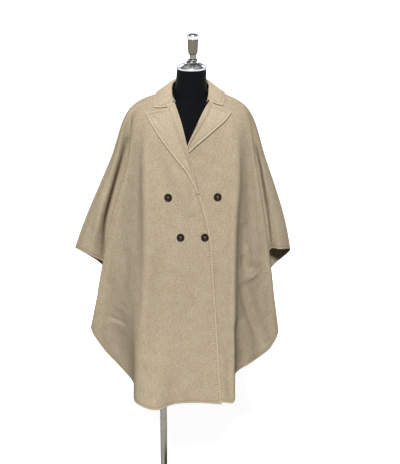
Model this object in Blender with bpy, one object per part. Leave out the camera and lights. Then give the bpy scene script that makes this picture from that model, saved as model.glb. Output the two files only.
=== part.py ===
"""Wool cape worn by a limbless dress form on its stand.

Metres, +Z up, the front faces -Y and +X is the viewer's right.  The floor is
z = 0 and the origin is the centre of the base plate's underside, straight
under the neck.  "right" and "left" in names are the wearer's.

The cape is one ring of cloth around the form.  Named fold lines run from the
neck ring down to the hem or the cuff, a smooth surface is woven across them,
and the sewn panels are cut from that surface along the overarm and side seams.
"""

import math
from typing import NamedTuple, Optional

import bpy
import numpy as np
from mathutils import Vector
from mathutils.bvhtree import BVHTree

# ---------------------------------------------------------------- cloth sizes
WALL = 0.0025            # thickness of the double-faced wool
SEAM_GAP = 0.0003        # between two pieces that are sewn together
SEAM_PULL = 0.6 * SEAM_GAP   # each sewn edge is drawn back this far
FORM_GAP = 0.0012        # from the cape's inner face to the dress form
LAYER_GAP = 0.0006       # between one layer of cloth and the next
MITRE_LIMIT = 1.8        # most that a tight fold lengthens the wall's offset
REACH_LIMIT = 0.03       # a surface farther through than this is left alone
EDGE_LIMIT = 0.002       # and so is one whose edge lies farther aside than this
UNDERARM_SPLIT = 0.0055  # the front and the back each keep this far off the underarm
CLEARING_PASSES = 3      # a wall is moved clear of what it hangs on this often
LAPPING_PASSES = 3       # and the front that laps over the other one this often

# ------------------------------------------------------------ neck ring sizes
NECK_CENTRE_Y = 0.010
NECK_HALF_WIDTH = 0.078
NECK_HALF_DEPTH = 0.064
NECK_MID_Z = 1.4690
NECK_TILT = 0.0135       # the back of the ring stands this much higher

# Share of a fold line's run at each named station.
STATIONS = {"neck": 0.0, "shoulder": 0.14, "upper": 0.30, "waist": 0.50,
            "cuff": 0.60, "low": 0.78, "hem": 1.0}
# Rows of mesh between one station and the next.
STATION_ROWS = {"neck": 6, "shoulder": 4, "upper": 3, "waist": 2, "cuff": 3,
                "low": 4}
FOLD_COLUMNS = 2         # columns of mesh between one fold line and the next


class Fold(NamedTuple):
    """A fold line: its bearing on the neck ring, then its named stations."""

    name: str
    neck: float                      # degrees from the front
    shoulder: tuple
    upper: tuple
    waist: tuple
    cuff: Optional[tuple] = None     # where a sleeve line ends
    low: Optional[tuple] = None
    hem: Optional[tuple] = None


# Right front, which laps over the left one, from its free edge to the overarm
# seam.  The first stations of the edge follow the lapel's roll line.
RIGHT_UNDERARM = (-0.257, 0.023, 0.852)
RIGHT_FRONT = (
    Fold("edge", 48, (-0.0305, -0.094, 1.397), (0.0075, -0.128, 1.245),
         (0.0605, -0.154, 1.037), (0.069, -0.164, 0.930), (0.0835, -0.181, 0.700),
         (0.098, -0.206, 0.4760)),
    Fold("centre", 52, (-0.057, -0.087, 1.400), (-0.024, -0.126, 1.247),
         (0.018, -0.155, 1.040), None, (0.010, -0.182, 0.700), (0.003, -0.203, 0.480)),
    Fold("hem_dip", 56, (-0.082, -0.078, 1.402), (-0.058, -0.124, 1.247),
         (-0.030, -0.154, 1.045), None, (-0.050, -0.184, 0.700), (-0.062, -0.213, 0.479)),
    Fold("hem_wave", 60, (-0.102, -0.070, 1.405), (-0.093, -0.119, 1.248),
         (-0.085, -0.153, 1.050), None, (-0.105, -0.192, 0.700), (-0.118, -0.240, 0.4715)),
    Fold("front_ridge", 65, (-0.130, -0.058, 1.410), (-0.150, -0.114, 1.250),
         (-0.153, -0.152, 1.050), None, (-0.172, -0.188, 0.720), (-0.186, -0.207, 0.484)),
    Fold("front_trough", 70, (-0.150, -0.048, 1.411), (-0.172, -0.090, 1.250),
         (-0.186, -0.116, 1.040), None, (-0.204, -0.144, 0.740), (-0.196, -0.108, 0.507)),
    Fold("side_swell", 75, (-0.164, -0.041, 1.412), (-0.192, -0.072, 1.250),
         (-0.218, -0.084, 1.037), None, (-0.246, -0.089, 0.772), (-0.242, -0.071, 0.549)),
    Fold("side_flare", 79, (-0.176, -0.033, 1.411), (-0.206, -0.059, 1.250),
         (-0.243, -0.062, 1.043), None, (-0.290, -0.050, 0.779), (-0.304, -0.030, 0.602)),
    Fold("side_ridge", 83, (-0.184, -0.025, 1.411), (-0.217, -0.047, 1.250),
         (-0.262, -0.046, 1.047), None, (-0.3195, -0.029, 0.776), (-0.342, -0.010, 0.670)),
    Fold("underarm", 87, (-0.190, -0.013, 1.414), (-0.207, 0.008, 1.250),
         (-0.238, 0.022, 1.050), RIGHT_UNDERARM, (-0.281, 0.026, 0.780),
         (-0.300, 0.030, 0.706)),
    Fold("sleeve_front", 91, (-0.1925, -0.005, 1.420), (-0.247, -0.020, 1.250),
         (-0.305, -0.026, 1.052), (-0.337, -0.022, 0.934)),
    Fold("overarm", 95, (-0.193, 0.002, 1.4255), (-0.262, 0.000, 1.250),
         (-0.345, 0.004, 1.050), (-0.384, 0.012, 0.941)),
)

# Left front, from the overarm seam to its free edge under the right one.
LEFT_UNDERARM = (0.228, 0.022, 0.846)
LEFT_FRONT = (
    Fold("overarm", 95, (0.1765, 0.000, 1.4235), (0.222, -0.010, 1.250),
         (0.270, -0.008, 1.050), (0.288, -0.010, 0.947)),
    Fold("sleeve_front", 91, (0.1765, -0.007, 1.418), (0.212, -0.003, 1.250),
         (0.247, 0.003, 1.050), (0.262, 0.006, 0.943)),
    Fold("underarm", 87, (0.176, -0.014, 1.412), (0.188, 0.002, 1.250),
         (0.212, 0.012, 1.050), LEFT_UNDERARM, (0.245, 0.024, 0.780),
         (0.262, 0.028, 0.700)),
    Fold("side_ridge", 83, (0.172, -0.024, 1.409), (0.2035, -0.046, 1.250),
         (0.236, -0.062, 1.050), None, (0.2752, -0.050, 0.775), (0.291, -0.020, 0.662)),
    Fold("side_flare", 79, (0.165, -0.032, 1.409), (0.193, -0.057, 1.250),
         (0.214, -0.072, 1.045), None, (0.243, -0.064, 0.775), (0.265, -0.044, 0.608)),
    Fold("side_swell", 75, (0.154, -0.040, 1.410), (0.179, -0.070, 1.250),
         (0.184, -0.079, 1.040), None, (0.196, -0.079, 0.770), (0.206, -0.074, 0.571)),
    Fold("front_trough", 70, (0.142, -0.048, 1.410), (0.163, -0.090, 1.250),
         (0.154, -0.120, 1.040), None, (0.150, -0.140, 0.740), (0.142, -0.120, 0.543)),
    Fold("front_ridge", 65, (0.125, -0.057, 1.409), (0.1485, -0.110, 1.250),
         (0.1355, -0.150, 1.050), None, (0.1355, -0.182, 0.720), (0.138, -0.205, 0.483)),
    Fold("hem_wave", 60, (0.098, -0.069, 1.406), (0.105, -0.116, 1.250),
         (0.100, -0.146, 1.040), None, (0.102, -0.176, 0.700), (0.108, -0.198, 0.479)),
    Fold("hem_dip", 56, (0.076, -0.076, 1.403), (0.060, -0.116, 1.250),
         (0.052, -0.140, 1.040), None, (0.055, -0.162, 0.700), (0.058, -0.186, 0.479)),
    Fold("centre", 52, (0.050, -0.081, 1.401), (0.012, -0.116, 1.250),
         (0.000, -0.139, 1.040), None, (-0.005, -0.163, 0.700), (-0.005, -0.182, 0.481)),
    Fold("edge", 48, (0.0195, -0.088, 1.400), (-0.041, -0.116, 1.250),
         (-0.060, -0.137, 1.040), None, (-0.072, -0.162, 0.700), (-0.085, -0.184, 0.482)),
)

# Back, from the right overarm seam round to the left one.
BACK = (
    Fold("sleeve_edge", 101, (-0.193, 0.009, 1.4255), (-0.265, 0.011, 1.250),
         (-0.350, 0.021, 1.050), (-0.3906, 0.029, 0.939)),
    Fold("sleeve_back", 107, (-0.192, 0.016, 1.421), (-0.243, 0.040, 1.250),
         (-0.290, 0.062, 1.050), (-0.326, 0.076, 0.880)),
    Fold("underarm", 113, (-0.190, 0.024, 1.416), (-0.207, 0.038, 1.250),
         (-0.234, 0.050, 1.050), RIGHT_UNDERARM),
    Fold("side_ridge", 120, (-0.182, 0.034, 1.413), (-0.203, 0.080, 1.250),
         (-0.238, 0.116, 1.045), None, (-0.292, 0.116, 0.775), (-0.310, 0.108, 0.690)),
    Fold("side_swell", 130, (-0.158, 0.050, 1.415), (-0.172, 0.102, 1.250),
         (-0.196, 0.142, 1.045), None, (-0.238, 0.170, 0.740), (-0.250, 0.174, 0.600)),
    Fold("back_trough", 142, (-0.120, 0.064, 1.421), (-0.128, 0.120, 1.250),
         (-0.138, 0.152, 1.040), None, (-0.152, 0.162, 0.720), (-0.156, 0.158, 0.535)),
    Fold("back_wave", 158, (-0.068, 0.078, 1.430), (-0.076, 0.132, 1.250),
         (-0.082, 0.174, 1.040), None, (-0.092, 0.208, 0.700), (-0.098, 0.228, 0.490)),
    Fold("back_centre", 180, (0.004, 0.084, 1.432), (0.004, 0.132, 1.250),
         (0.002, 0.164, 1.040), None, (0.000, 0.184, 0.700), (-0.004, 0.192, 0.470)),
    Fold("back_wave", -158, (0.070, 0.078, 1.429), (0.080, 0.131, 1.250),
         (0.078, 0.170, 1.040), None, (0.080, 0.200, 0.700), (0.086, 0.222, 0.482)),
    Fold("back_trough", -142, (0.118, 0.064, 1.418), (0.130, 0.118, 1.250),
         (0.132, 0.150, 1.040), None, (0.134, 0.160, 0.720), (0.138, 0.160, 0.532)),
    Fold("side_swell", -130, (0.150, 0.050, 1.412), (0.168, 0.098, 1.250),
         (0.180, 0.136, 1.045), None, (0.208, 0.160, 0.740), (0.220, 0.166, 0.590)),
    Fold("side_ridge", -120, (0.172, 0.034, 1.409), (0.188, 0.080, 1.250),
         (0.212, 0.116, 1.045), None, (0.254, 0.116, 0.775), (0.266, 0.108, 0.684)),
    Fold("underarm", -113, (0.175, 0.024, 1.413), (0.188, 0.038, 1.250),
         (0.207, 0.050, 1.050), LEFT_UNDERARM),
    Fold("sleeve_back", -107, (0.1760, 0.016, 1.419), (0.226, 0.044, 1.250),
         (0.262, 0.070, 1.050), (0.288, 0.078, 0.872)),
    Fold("sleeve_edge", -101, (0.1765, 0.008, 1.4235), (0.241, 0.014, 1.250),
         (0.305, 0.030, 1.050), (0.3294, 0.036, 0.930)),
)

# ---------------------------------------------------------------- lapel sizes
LAPEL_COLUMNS = 7        # from the roll line to the free edge
LAPEL_ROWS = 18          # from the peak down to the break
LAPEL_GAP = 0.0009       # from a lapel to the front under it
LAPEL_ROLL = 0.0035      # extra lift where the lapel turns over
LAPEL_ROLL_SHARE = 0.30  # share of the lapel's width that the roll takes
NOTCH_SHARE = 0.26       # share of the top edge from the roll to the notch
NOTCH_ROWS = 0.20        # share of the lapel over which the notch's bend fades


class Lapel(NamedTuple):
    """A lapel as seen from the front: heights, then points across and up."""

    top: float               # height of the gorge on the front's edge
    low: float               # height of the break on the front's edge
    notch: tuple
    peak: tuple
    free_edge: tuple         # from below the peak down to the break


RIGHT_LAPEL = Lapel(
    top=1.4470, low=1.1780, notch=(-0.0735, 1.4305), peak=(-0.1455, 1.4160),
    free_edge=((-0.1156, 1.3702), (-0.0899, 1.3357), (-0.0522, 1.2884),
               (-0.0145, 1.2409), (-0.0057, 1.2206), (0.0150, 1.1765)))
LEFT_LAPEL = Lapel(
    top=1.4485, low=1.2980, notch=(0.0650, 1.4420), peak=(0.1240, 1.4178),
    free_edge=((0.1096, 1.4009), (0.0732, 1.3719), (0.0421, 1.3468),
               (0.0170, 1.3273), (-0.0165, 1.2960)))

# --------------------------------------------------------------- collar sizes
COLLAR_GAP = 0.0007      # from the collar to the shoulders under it
COLLAR_FOLD = 0.0042     # radius of the fold, on its outer face
COLLAR_COLUMNS = 2       # columns of mesh between one station and the next
STAND_SHARES = (0.0, 0.5)                # from the foot up to the fold
FOLD_STEPS = 5           # flats round the fold
FALL_SHARES = (0.16, 0.33, 0.55, 0.78, 1.0)  # from the fold to the outer edge
CROWN_SHARE = 0.33


class CollarStation(NamedTuple):
    """A section across the collar."""

    name: str
    foot: tuple              # of the stand, just inside the neck ring
    fold: tuple              # top of the fold
    crown: tuple             # on the fall, a third of the way to its edge
    edge: tuple              # outer edge, which is laid on the shoulders


COLLAR = (
    CollarStation("right_notch", (-0.0520, -0.0450, 1.4500), (-0.0570, -0.0490, 1.4565),
                  (-0.0765, -0.0560, 1.4400), (-0.1180, -0.0450, 1.4330)),
    CollarStation("right_front", (-0.0575, -0.0295, 1.4625), (-0.0640, -0.0340, 1.4750),
                  (-0.0830, -0.0350, 1.4670), (-0.1163, -0.0240, 1.4500)),
    CollarStation("right_side", (-0.0715, -0.0090, 1.4670), (-0.0660, -0.0100, 1.4920),
                  (-0.0850, -0.0050, 1.4870), (-0.1148, 0.0020, 1.4600)),
    CollarStation("right_shoulder", (-0.0740, 0.0205, 1.4725), (-0.0620, 0.0180, 1.5040),
                  (-0.0800, 0.0270, 1.4940), (-0.1090, 0.0360, 1.4560)),
    CollarStation("right_back", (-0.0560, 0.0510, 1.4795), (-0.0430, 0.0480, 1.5110),
                  (-0.0560, 0.0640, 1.4980), (-0.0780, 0.0700, 1.4460)),
    CollarStation("back", (0.0000, 0.0710, 1.4835), (0.0000, 0.0620, 1.5140),
                  (0.0000, 0.0790, 1.4990), (0.0000, 0.0860, 1.4370)),
    CollarStation("left_back", (0.0560, 0.0510, 1.4795), (0.0410, 0.0480, 1.5090),
                  (0.0540, 0.0630, 1.4960), (0.0740, 0.0680, 1.4440)),
    CollarStation("left_shoulder", (0.0740, 0.0205, 1.4725), (0.0570, 0.0180, 1.4990),
                  (0.0740, 0.0270, 1.4900), (0.1000, 0.0340, 1.4540)),
    CollarStation("left_side", (0.0715, -0.0090, 1.4670), (0.0570, -0.0100, 1.4860),
                  (0.0750, -0.0050, 1.4820), (0.1041, -0.0020, 1.4580)),
    CollarStation("left_front", (0.0575, -0.0295, 1.4610), (0.0555, -0.0325, 1.4735),
                  (0.0735, -0.0330, 1.4665), (0.1025, -0.0230, 1.4500)),
    CollarStation("left_notch", (0.0470, -0.0430, 1.4510), (0.0505, -0.0430, 1.4605),
                  (0.0665, -0.0470, 1.4510), (0.0978, -0.0430, 1.4380)),
)

# --------------------------------------------------------------- button sizes
BUTTON_SEGMENTS = 20
BUTTON_HOLE_OFFSET = 0.0027
BUTTON_HOLE_RADIUS = 0.0011
BUTTON_PROFILE = ((0.0095, 0.0), (0.0122, 0.0010), (0.0125, 0.0022),
                  (0.0122, 0.0036), (0.0112, 0.0042), (0.0100, 0.0036), (0.0085, 0.0028))
BUTTON_HOLE_SIDES = 6
BUTTON_DRILL = 0.02      # longer than the button is thick
BUTTON_GAP = 0.0006      # from a button to the cloth under it
# The front that carries each button, and the button's place across and up.
BUTTONS = {"button_upper_right": ("right", -0.0740, 1.1649),
           "button_upper_left": ("left", 0.0821, 1.1647),
           "button_lower_right": ("right", -0.0355, 1.0382),
           "button_lower_left": ("right", 0.0416, 1.0384)}

# ---------------------------------------------------------- dress form sizes
NECK_TOP = 1.5492
FORM_SIDES = 28
FORM_RINGS = 32
# Body sections: height, half width, depth in front, depth behind, roundness
# (2 is an ellipse, more is squarer) and the middle's place across.
FORM_SECTIONS = (
    (0.780, 0.128, 0.078, 0.084, 2.2, -0.006),
    (0.788, 0.150, 0.098, 0.104, 2.2, -0.006),
    (0.810, 0.162, 0.106, 0.116, 2.2, -0.006),
    (0.870, 0.170, 0.108, 0.124, 2.2, -0.006),
    (0.960, 0.146, 0.096, 0.104, 2.2, -0.006),
    (1.060, 0.121, 0.088, 0.086, 2.2, -0.006),
    (1.160, 0.137, 0.104, 0.094, 2.2, -0.006),
    (1.245, 0.150, 0.110, 0.102, 2.3, -0.006),
    (1.320, 0.158, 0.098, 0.104, 2.3, -0.006),
    (1.375, 0.170, 0.082, 0.092, 2.2, -0.006),
    (1.402, 0.1745, 0.070, 0.080, 2.0, -0.006),
    (1.418, 0.1680, 0.060, 0.070, 1.9, -0.006),
    (1.428, 0.1520, 0.056, 0.066, 1.8, -0.006),
    (1.440, 0.1220, 0.053, 0.062, 1.75, -0.006),
    (1.452, 0.0920, 0.051, 0.058, 1.75, -0.005),
    (1.464, 0.0690, 0.049, 0.054, 1.85, -0.005),
    (1.482, 0.0545, 0.048, 0.050, 1.95, -0.004),
    (1.505, 0.0490, 0.047, 0.048, 2.0, -0.002),
    (NECK_TOP, 0.0468, 0.0468, 0.0468, 2.0, 0.000),
)

# ------------------------------------------------------ hardware and stand
CAP_SEGMENTS = 32
FINIAL_SEGMENTS = 20
POLE_SEGMENTS = 24
BASE_SEGMENTS = 48
CAP_RADIUS = 0.0470
POLE_X = -0.100
POLE_RADIUS = 0.0115
BASE_RADIUS = 0.180
BASE_THICKNESS = 0.010
BASE_EDGE = 0.002

# Turned outlines: radius and height above the piece's own foot.
CAP_PROFILE = ((CAP_RADIUS, 0.0), (CAP_RADIUS, 0.0062), (0.0455, 0.0082),
               (0.0400, 0.0120), (0.0320, 0.0158), (0.0240, 0.0188),
               (0.0175, 0.0222), (0.0160, 0.0243))
FINIAL_X = 0.004         # the finial leans this far off the cap's middle
FINIAL_PROFILE = ((0.0142, 0.0), (0.0149, 0.0012), (0.0149, 0.0062),
                  (0.0112, 0.0086), (0.0108, 0.0104), (0.0108, 0.0200),
                  (0.0150, 0.0264), (0.0170, 0.0690), (0.0185, 0.0712),
                  (0.0187, 0.0800), (0.0168, 0.0850), (0.0125, 0.0862))

# -------------------------------------------------------------------- colours
WOOL = (0.473, 0.392, 0.279)
WOOL_LIGHT = (0.53, 0.45, 0.33)
BLACK_JERSEY = (0.006, 0.007, 0.009)
CHROME = (0.75, 0.76, 0.76)
STEEL = (0.42, 0.41, 0.38)
HORN = (0.022, 0.012, 0.008)


# ------------------------------------------------------------ scene handling
def clear_scene():
    """Remove the objects that the new file starts with."""
    for old in list(bpy.data.objects):
        bpy.data.objects.remove(old, do_unlink=True)


def finish(name, colour, roughness, metallic=0.0):
    """A Principled BSDF of its own for one piece."""
    material = bpy.data.materials.new(name)
    material.use_nodes = True
    shader = material.node_tree.nodes["Principled BSDF"]
    shader.inputs["Base Color"].default_value = (*colour, 1.0)
    shader.inputs["Roughness"].default_value = roughness
    shader.inputs["Metallic"].default_value = metallic
    material.diffuse_color = (*colour, 1.0)
    return material


def add_object(name, vertices, faces, material):
    """Link a new mesh object, shaded smooth but for its sharp edges."""
    mesh = bpy.data.meshes.new(name)
    mesh.from_pydata([tuple(map(float, v)) for v in vertices], [], faces)
    mesh.validate()
    mesh.shade_smooth()
    mesh.set_sharp_from_angle(angle=math.radians(40))
    piece = bpy.data.objects.new(name, mesh)
    bpy.context.scene.collection.objects.link(piece)
    if material:
        mesh.materials.append(material)
    return piece


def surface_tree(piece):
    """Search tree over a closed body's faces."""
    vertices = [vertex.co.copy() for vertex in piece.data.vertices]
    faces = [tuple(face.vertices) for face in piece.data.polygons]
    return BVHTree.FromPolygons(vertices, faces)


def face_tree(piece):
    """Search tree over the outer face of a wall made by cloth_solid."""
    vertices = [vertex.co.copy() for vertex in piece.data.vertices]
    outer = len(vertices) // 2
    faces = [tuple(face.vertices) for face in piece.data.polygons
             if max(face.vertices) < outer]
    return BVHTree.FromPolygons(vertices, faces)


# --------------------------------------------------------------- mathematics
def smooth(marks, values, at):
    """Even cubic curve through marked values, read at new marks.

    The marks only say where to read; the curve's speed follows the root of
    its chords, so that it never loops between close values.
    """
    marks = np.asarray(marks, float)
    values = np.asarray(values, float)
    at = np.asarray(at, float)
    chord = np.linalg.norm(np.diff(values, axis=0), axis=1)
    step = np.sqrt(np.maximum(chord, 1e-6))[:, None]
    slope = np.diff(values, axis=0) / step
    tangent = np.empty_like(values)
    tangent[1:-1] = (slope[:-1] * step[1:] + slope[1:] * step[:-1]) / (step[1:] + step[:-1])
    tangent[0] = 1.5 * slope[0] - 0.5 * tangent[1]
    tangent[-1] = 1.5 * slope[-1] - 0.5 * tangent[-2]
    left = np.clip(np.searchsorted(marks, at, side="right") - 1, 0, len(marks) - 2)
    width = step[left]
    u = ((at - marks[left]) / (marks[left + 1] - marks[left]))[:, None]
    return ((2 * u**3 - 3 * u**2 + 1) * values[left]
            + (u**3 - 2 * u**2 + u) * width * tangent[left]
            + (3 * u**2 - 2 * u**3) * values[left + 1]
            + (u**3 - u**2) * width * tangent[left + 1])


def unit(vectors):
    """Vectors scaled to length one."""
    size = np.linalg.norm(vectors, axis=-1, keepdims=True)
    return vectors / np.maximum(size, 1e-12)


def spaced(knots, steps):
    """Each knot and the places between it and the next."""
    runs = [np.linspace(a, b, n, endpoint=False)
            for a, b, n in zip(knots[:-1], knots[1:], steps)]
    return np.concatenate(runs + [np.array(knots[-1:], float)])


# ------------------------------------------------------------- cloth surface
def neck_point(bearing, side):
    """Point on the neck ring; side is -1 on the wearer's right."""
    angle = math.radians(abs(bearing))
    return (side * NECK_HALF_WIDTH * math.sin(angle),
            NECK_CENTRE_Y - NECK_HALF_DEPTH * math.cos(angle),
            NECK_MID_Z - NECK_TILT * math.cos(angle))


def row_places():
    """Places of the mesh rows along a fold line, and the index of the cuff row."""
    names = list(STATIONS)
    steps = [STATION_ROWS[name] for name in names[:-1]]
    rows = spaced([STATIONS[name] for name in names], steps)
    return rows, sum(steps[:names.index("cuff")])


def fold_line(fold, side, places):
    """Points of one fold line at the given places."""
    points = {"neck": neck_point(fold.neck, side), "shoulder": fold.shoulder,
              "upper": fold.upper, "waist": fold.waist, "cuff": fold.cuff,
              "low": fold.low, "hem": fold.hem}
    given = [name for name in STATIONS if points[name] is not None]
    knots = [STATIONS[name] for name in given]
    return smooth(knots, [points[name] for name in given], places)


def woven(lines):
    """Columns of points across fold lines, row by row."""
    lines = np.array(lines)
    marks = np.arange(len(lines))
    at = spaced(marks, [FOLD_COLUMNS] * (len(lines) - 1))
    return np.stack([smooth(marks, lines[:, row], at) for row in range(lines.shape[1])],
                    axis=1)


def cloth_grids():
    """Ring of cloth above and below the cuffs, with the seams' columns.

    Both grids are columns x rows x 3 and share the cuff row.
    """
    rows, cuff_row = row_places()
    ring = [(fold, -1) for fold in RIGHT_FRONT]
    ring += [(fold, -1 if fold.shoulder[0] < 0 else 1) for fold in BACK]
    ring += [(fold, 1) for fold in LEFT_FRONT]
    names = [fold.name for fold, _ in ring]
    underarms = [k for k, name in enumerate(names) if name == "underarm"]
    body = [k for k, (fold, _) in enumerate(ring) if fold.hem is not None]
    upper = woven([fold_line(fold, side, rows[:cuff_row + 1]) for fold, side in ring])
    lower = woven([fold_line(*ring[k], rows[cuff_row:]) for k in body])
    seams = {"overarm": [FOLD_COLUMNS * k for k, name in enumerate(names)
                         if name == "overarm"],
             "underarm": [FOLD_COLUMNS * k for k in underarms],
             "side": [FOLD_COLUMNS * body.index(underarms[0]),
                      FOLD_COLUMNS * body.index(underarms[3])]}
    return upper, lower, cuff_row, seams


def panel_grid(upper, lower, cuff_row, columns, body_columns, lower_columns, splits):
    """One panel's grid; places with no cloth under a sleeve are NaN.

    splits pairs each underarm column with -1 on a front and 1 on the back.
    """
    first, last = columns
    count = last - first + 1
    below = lower.shape[1] - 1
    grid = np.full((count, cuff_row + 1 + below, 3), np.nan)
    grid[:, :cuff_row + 1] = upper[first:last + 1]
    start, stop = body_columns
    grid[start - first:stop - first + 1, cuff_row + 1:] = (
        lower[lower_columns[0]:lower_columns[1] + 1, 1:])
    for column, direction in splits:
        grid[column - first, cuff_row, 1] += direction * UNDERARM_SPLIT
    return grid


def grid_faces(grid):
    """Quads of a grid's whole cells, facing out, as flat point numbers."""
    columns, rows = grid.shape[:2]
    there = ~np.isnan(grid[..., 0])
    faces = []
    for c in range(columns - 1):
        for r in range(rows - 1):
            if there[c:c + 2, r:r + 2].all():
                first = c * rows + r
                faces.append((first, first + rows, first + rows + 1, first + 1))
    return faces


def joint_reaches(grids):
    """Outward vectors of several grids' points, shared where points coincide.

    A vector is the unit normal, lengthened at folds so that a wall measured
    along it has the same thickness on both sides of the fold.
    """
    totals = {}
    counts = {}
    keys = []
    for grid in grids:
        flat = grid.reshape(-1, 3)
        names = [tuple(np.round(p, 6)) if not np.isnan(p[0]) else None for p in flat]
        keys.append(names)
        for face in grid_faces(grid):
            a, b, c, d = flat[list(face)]
            normal = unit(np.cross(c - a, d - b))
            for corner in face:
                name = names[corner]
                totals[name] = totals.get(name, 0.0) + normal
                counts[name] = counts.get(name, 0) + 1
    result = []
    for grid, names in zip(grids, keys):
        reach = np.zeros((len(names), 3))
        for index, name in enumerate(names):
            if name in totals:
                size = np.linalg.norm(totals[name])
                longer = min(counts[name] / max(size, 1e-12), MITRE_LIMIT)
                reach[index] = totals[name] / max(size, 1e-12) * longer
        result.append(reach.reshape(grid.shape))
    return result


def keep_clear(grid, normals, trees, gap, wall=WALL):
    """Move points out until the wall's inner face clears the given surfaces.

    The middles of the cells and of their sides are tested too, and lift the
    corners around them.
    """
    inner = grid - normals * wall
    lifts = np.zeros_like(grid)
    sizes = np.zeros(grid.shape[:2])
    for c, r in np.ndindex(grid.shape[:2]):
        for block in (np.s_[c:c + 1, r:r + 1], np.s_[c:c + 2, r:r + 1],
                      np.s_[c:c + 1, r:r + 2], np.s_[c:c + 2, r:r + 2]):
            middle = inner[block].reshape(-1, 3).mean(axis=0)
            if np.isnan(middle[0]):
                continue
            for tree in trees:
                place, normal, _, _ = tree.find_nearest(Vector(middle))
                away = Vector(middle) - place
                lift = gap - away.dot(normal)
                aside = (away - normal * away.dot(normal)).length
                if 0.0 < lift < REACH_LIMIT and aside < EDGE_LIMIT:
                    higher = sizes[block] < lift
                    sizes[block][higher] = lift
                    lifts[block][higher] = np.array(normal) * lift
    grid += lifts


def cloth_solid(name, grid, normals, material, pulled=()):
    """A wall of cloth under the grid's points, as one closed object.

    pulled lists seams as (column, first row, last row, inner column): there
    the edge is drawn back a little.
    """
    grid = grid.copy()
    for column, first, last, inner in pulled:
        for row in range(first, last + 1):
            before, after = max(first, row - 1), min(last, row + 1)
            run = unit(grid[column, after] - grid[column, before])
            across = unit(np.cross(normals[column, row], run))
            toward = grid[inner, row] - grid[column, row]
            across = across if across @ toward > 0 else -across
            grid[column, row] += across * SEAM_PULL
    faces = grid_faces(grid)
    used = sorted({corner for face in faces for corner in face})
    number = {corner: k for k, corner in enumerate(used)}
    outer = grid.reshape(-1, 3)[used]
    inner = outer - normals.reshape(-1, 3)[used] * WALL
    count = len(used)
    solid = []
    edges = set()
    for face in faces:
        a, b, c, d = (number[corner] for corner in face)
        if np.linalg.norm(outer[a] - outer[c]) <= np.linalg.norm(outer[b] - outer[d]):
            halves = ((a, b, c), (a, c, d))
        else:
            halves = ((a, b, d), (b, c, d))
        for half in halves:
            solid.append(half)
            solid.append(tuple(corner + count for corner in reversed(half)))
        for start, end in ((a, b), (b, c), (c, d), (d, a)):
            edges.add((start, end))
    for start, end in sorted(edges):
        if (end, start) in edges:
            continue
        if start < end:
            solid += [(end, start, end + count), (start, start + count, end + count)]
        else:
            solid += [(end, start, start + count), (end, start + count, end + count)]
    return add_object(name, np.concatenate([outer, inner]), solid, material)


# --------------------------------------------------------------- dress form
def form_ring(section, sides):
    """Points of one level section, counter-clockwise seen from above."""
    height, half_width, front, behind, roundness, middle = section
    ring = []
    for k in range(sides):
        angle = 2 * math.pi * k / sides
        c, s = math.cos(angle), math.sin(angle)
        depth = behind if s > 0 else front
        x = middle + half_width * math.copysign(abs(c) ** (2 / roundness), c)
        y = depth * math.copysign(abs(s) ** (2 / roundness), s)
        ring.append((x, y, height))
    return ring


def make_form():
    """Torso and neck as one smooth closed body."""
    table = np.array(FORM_SECTIONS)
    run = np.concatenate([[0.0], np.cumsum(np.linalg.norm(np.diff(table[:, :3], axis=0), axis=1))])
    sections = smooth(run, table, np.linspace(0.0, run[-1], FORM_RINGS))
    vertices = []
    for section in sections:
        vertices += form_ring(section, FORM_SIDES)
    faces = []
    for ring in range(FORM_RINGS - 1):
        for k in range(FORM_SIDES):
            a = ring * FORM_SIDES + k
            b = ring * FORM_SIDES + (k + 1) % FORM_SIDES
            faces.append((a, b, b + FORM_SIDES, a + FORM_SIDES))
    faces.append(tuple(reversed(range(FORM_SIDES))))
    faces.append(tuple(range((FORM_RINGS - 1) * FORM_SIDES, FORM_RINGS * FORM_SIDES)))
    return add_object("dress_form", vertices, faces,
                      finish("dress_form", BLACK_JERSEY, 0.75))


def turned(name, profile, foot, centre, segments, material):
    """A piece turned about an upright axis from its radius and height pairs."""
    vertices = []
    for radius, height in profile:
        for k in range(segments):
            angle = 2 * math.pi * k / segments
            vertices.append((centre[0] + radius * math.cos(angle),
                             centre[1] + radius * math.sin(angle), foot + height))
    faces = []
    for ring in range(len(profile) - 1):
        for k in range(segments):
            a = ring * segments + k
            b = ring * segments + (k + 1) % segments
            faces.append((a, b, b + segments, a + segments))
    faces.append(tuple(reversed(range(segments))))
    faces.append(tuple(range((len(profile) - 1) * segments, len(profile) * segments)))
    return add_object(name, vertices, faces, material)


def make_stand():
    """Neck cap, finial, pole and base plate."""
    turned("neck_cap", CAP_PROFILE, NECK_TOP + SEAM_GAP, (0.0, 0.0), CAP_SEGMENTS,
           finish("neck_cap", CHROME, 0.12, 1.0))
    cap_top = NECK_TOP + SEAM_GAP + CAP_PROFILE[-1][1]
    turned("finial", FINIAL_PROFILE, cap_top + SEAM_GAP, (FINIAL_X, 0.0), FINIAL_SEGMENTS,
           finish("finial", CHROME, 0.25, 1.0))
    bottom = FORM_SECTIONS[0][0]
    length = bottom - BASE_THICKNESS - 2 * SEAM_GAP
    turned("pole", ((POLE_RADIUS, 0.0), (POLE_RADIUS, length)),
           BASE_THICKNESS + SEAM_GAP, (POLE_X, 0.0), POLE_SEGMENTS,
           finish("pole", STEEL, 0.35, 1.0))
    plate = ((BASE_RADIUS, 0.0), (BASE_RADIUS, BASE_THICKNESS - BASE_EDGE),
             (BASE_RADIUS - BASE_EDGE, BASE_THICKNESS))
    turned("base_plate", plate, 0.0, (0.0, 0.0), BASE_SEGMENTS,
           finish("base_plate", STEEL, 0.4, 1.0))


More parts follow.
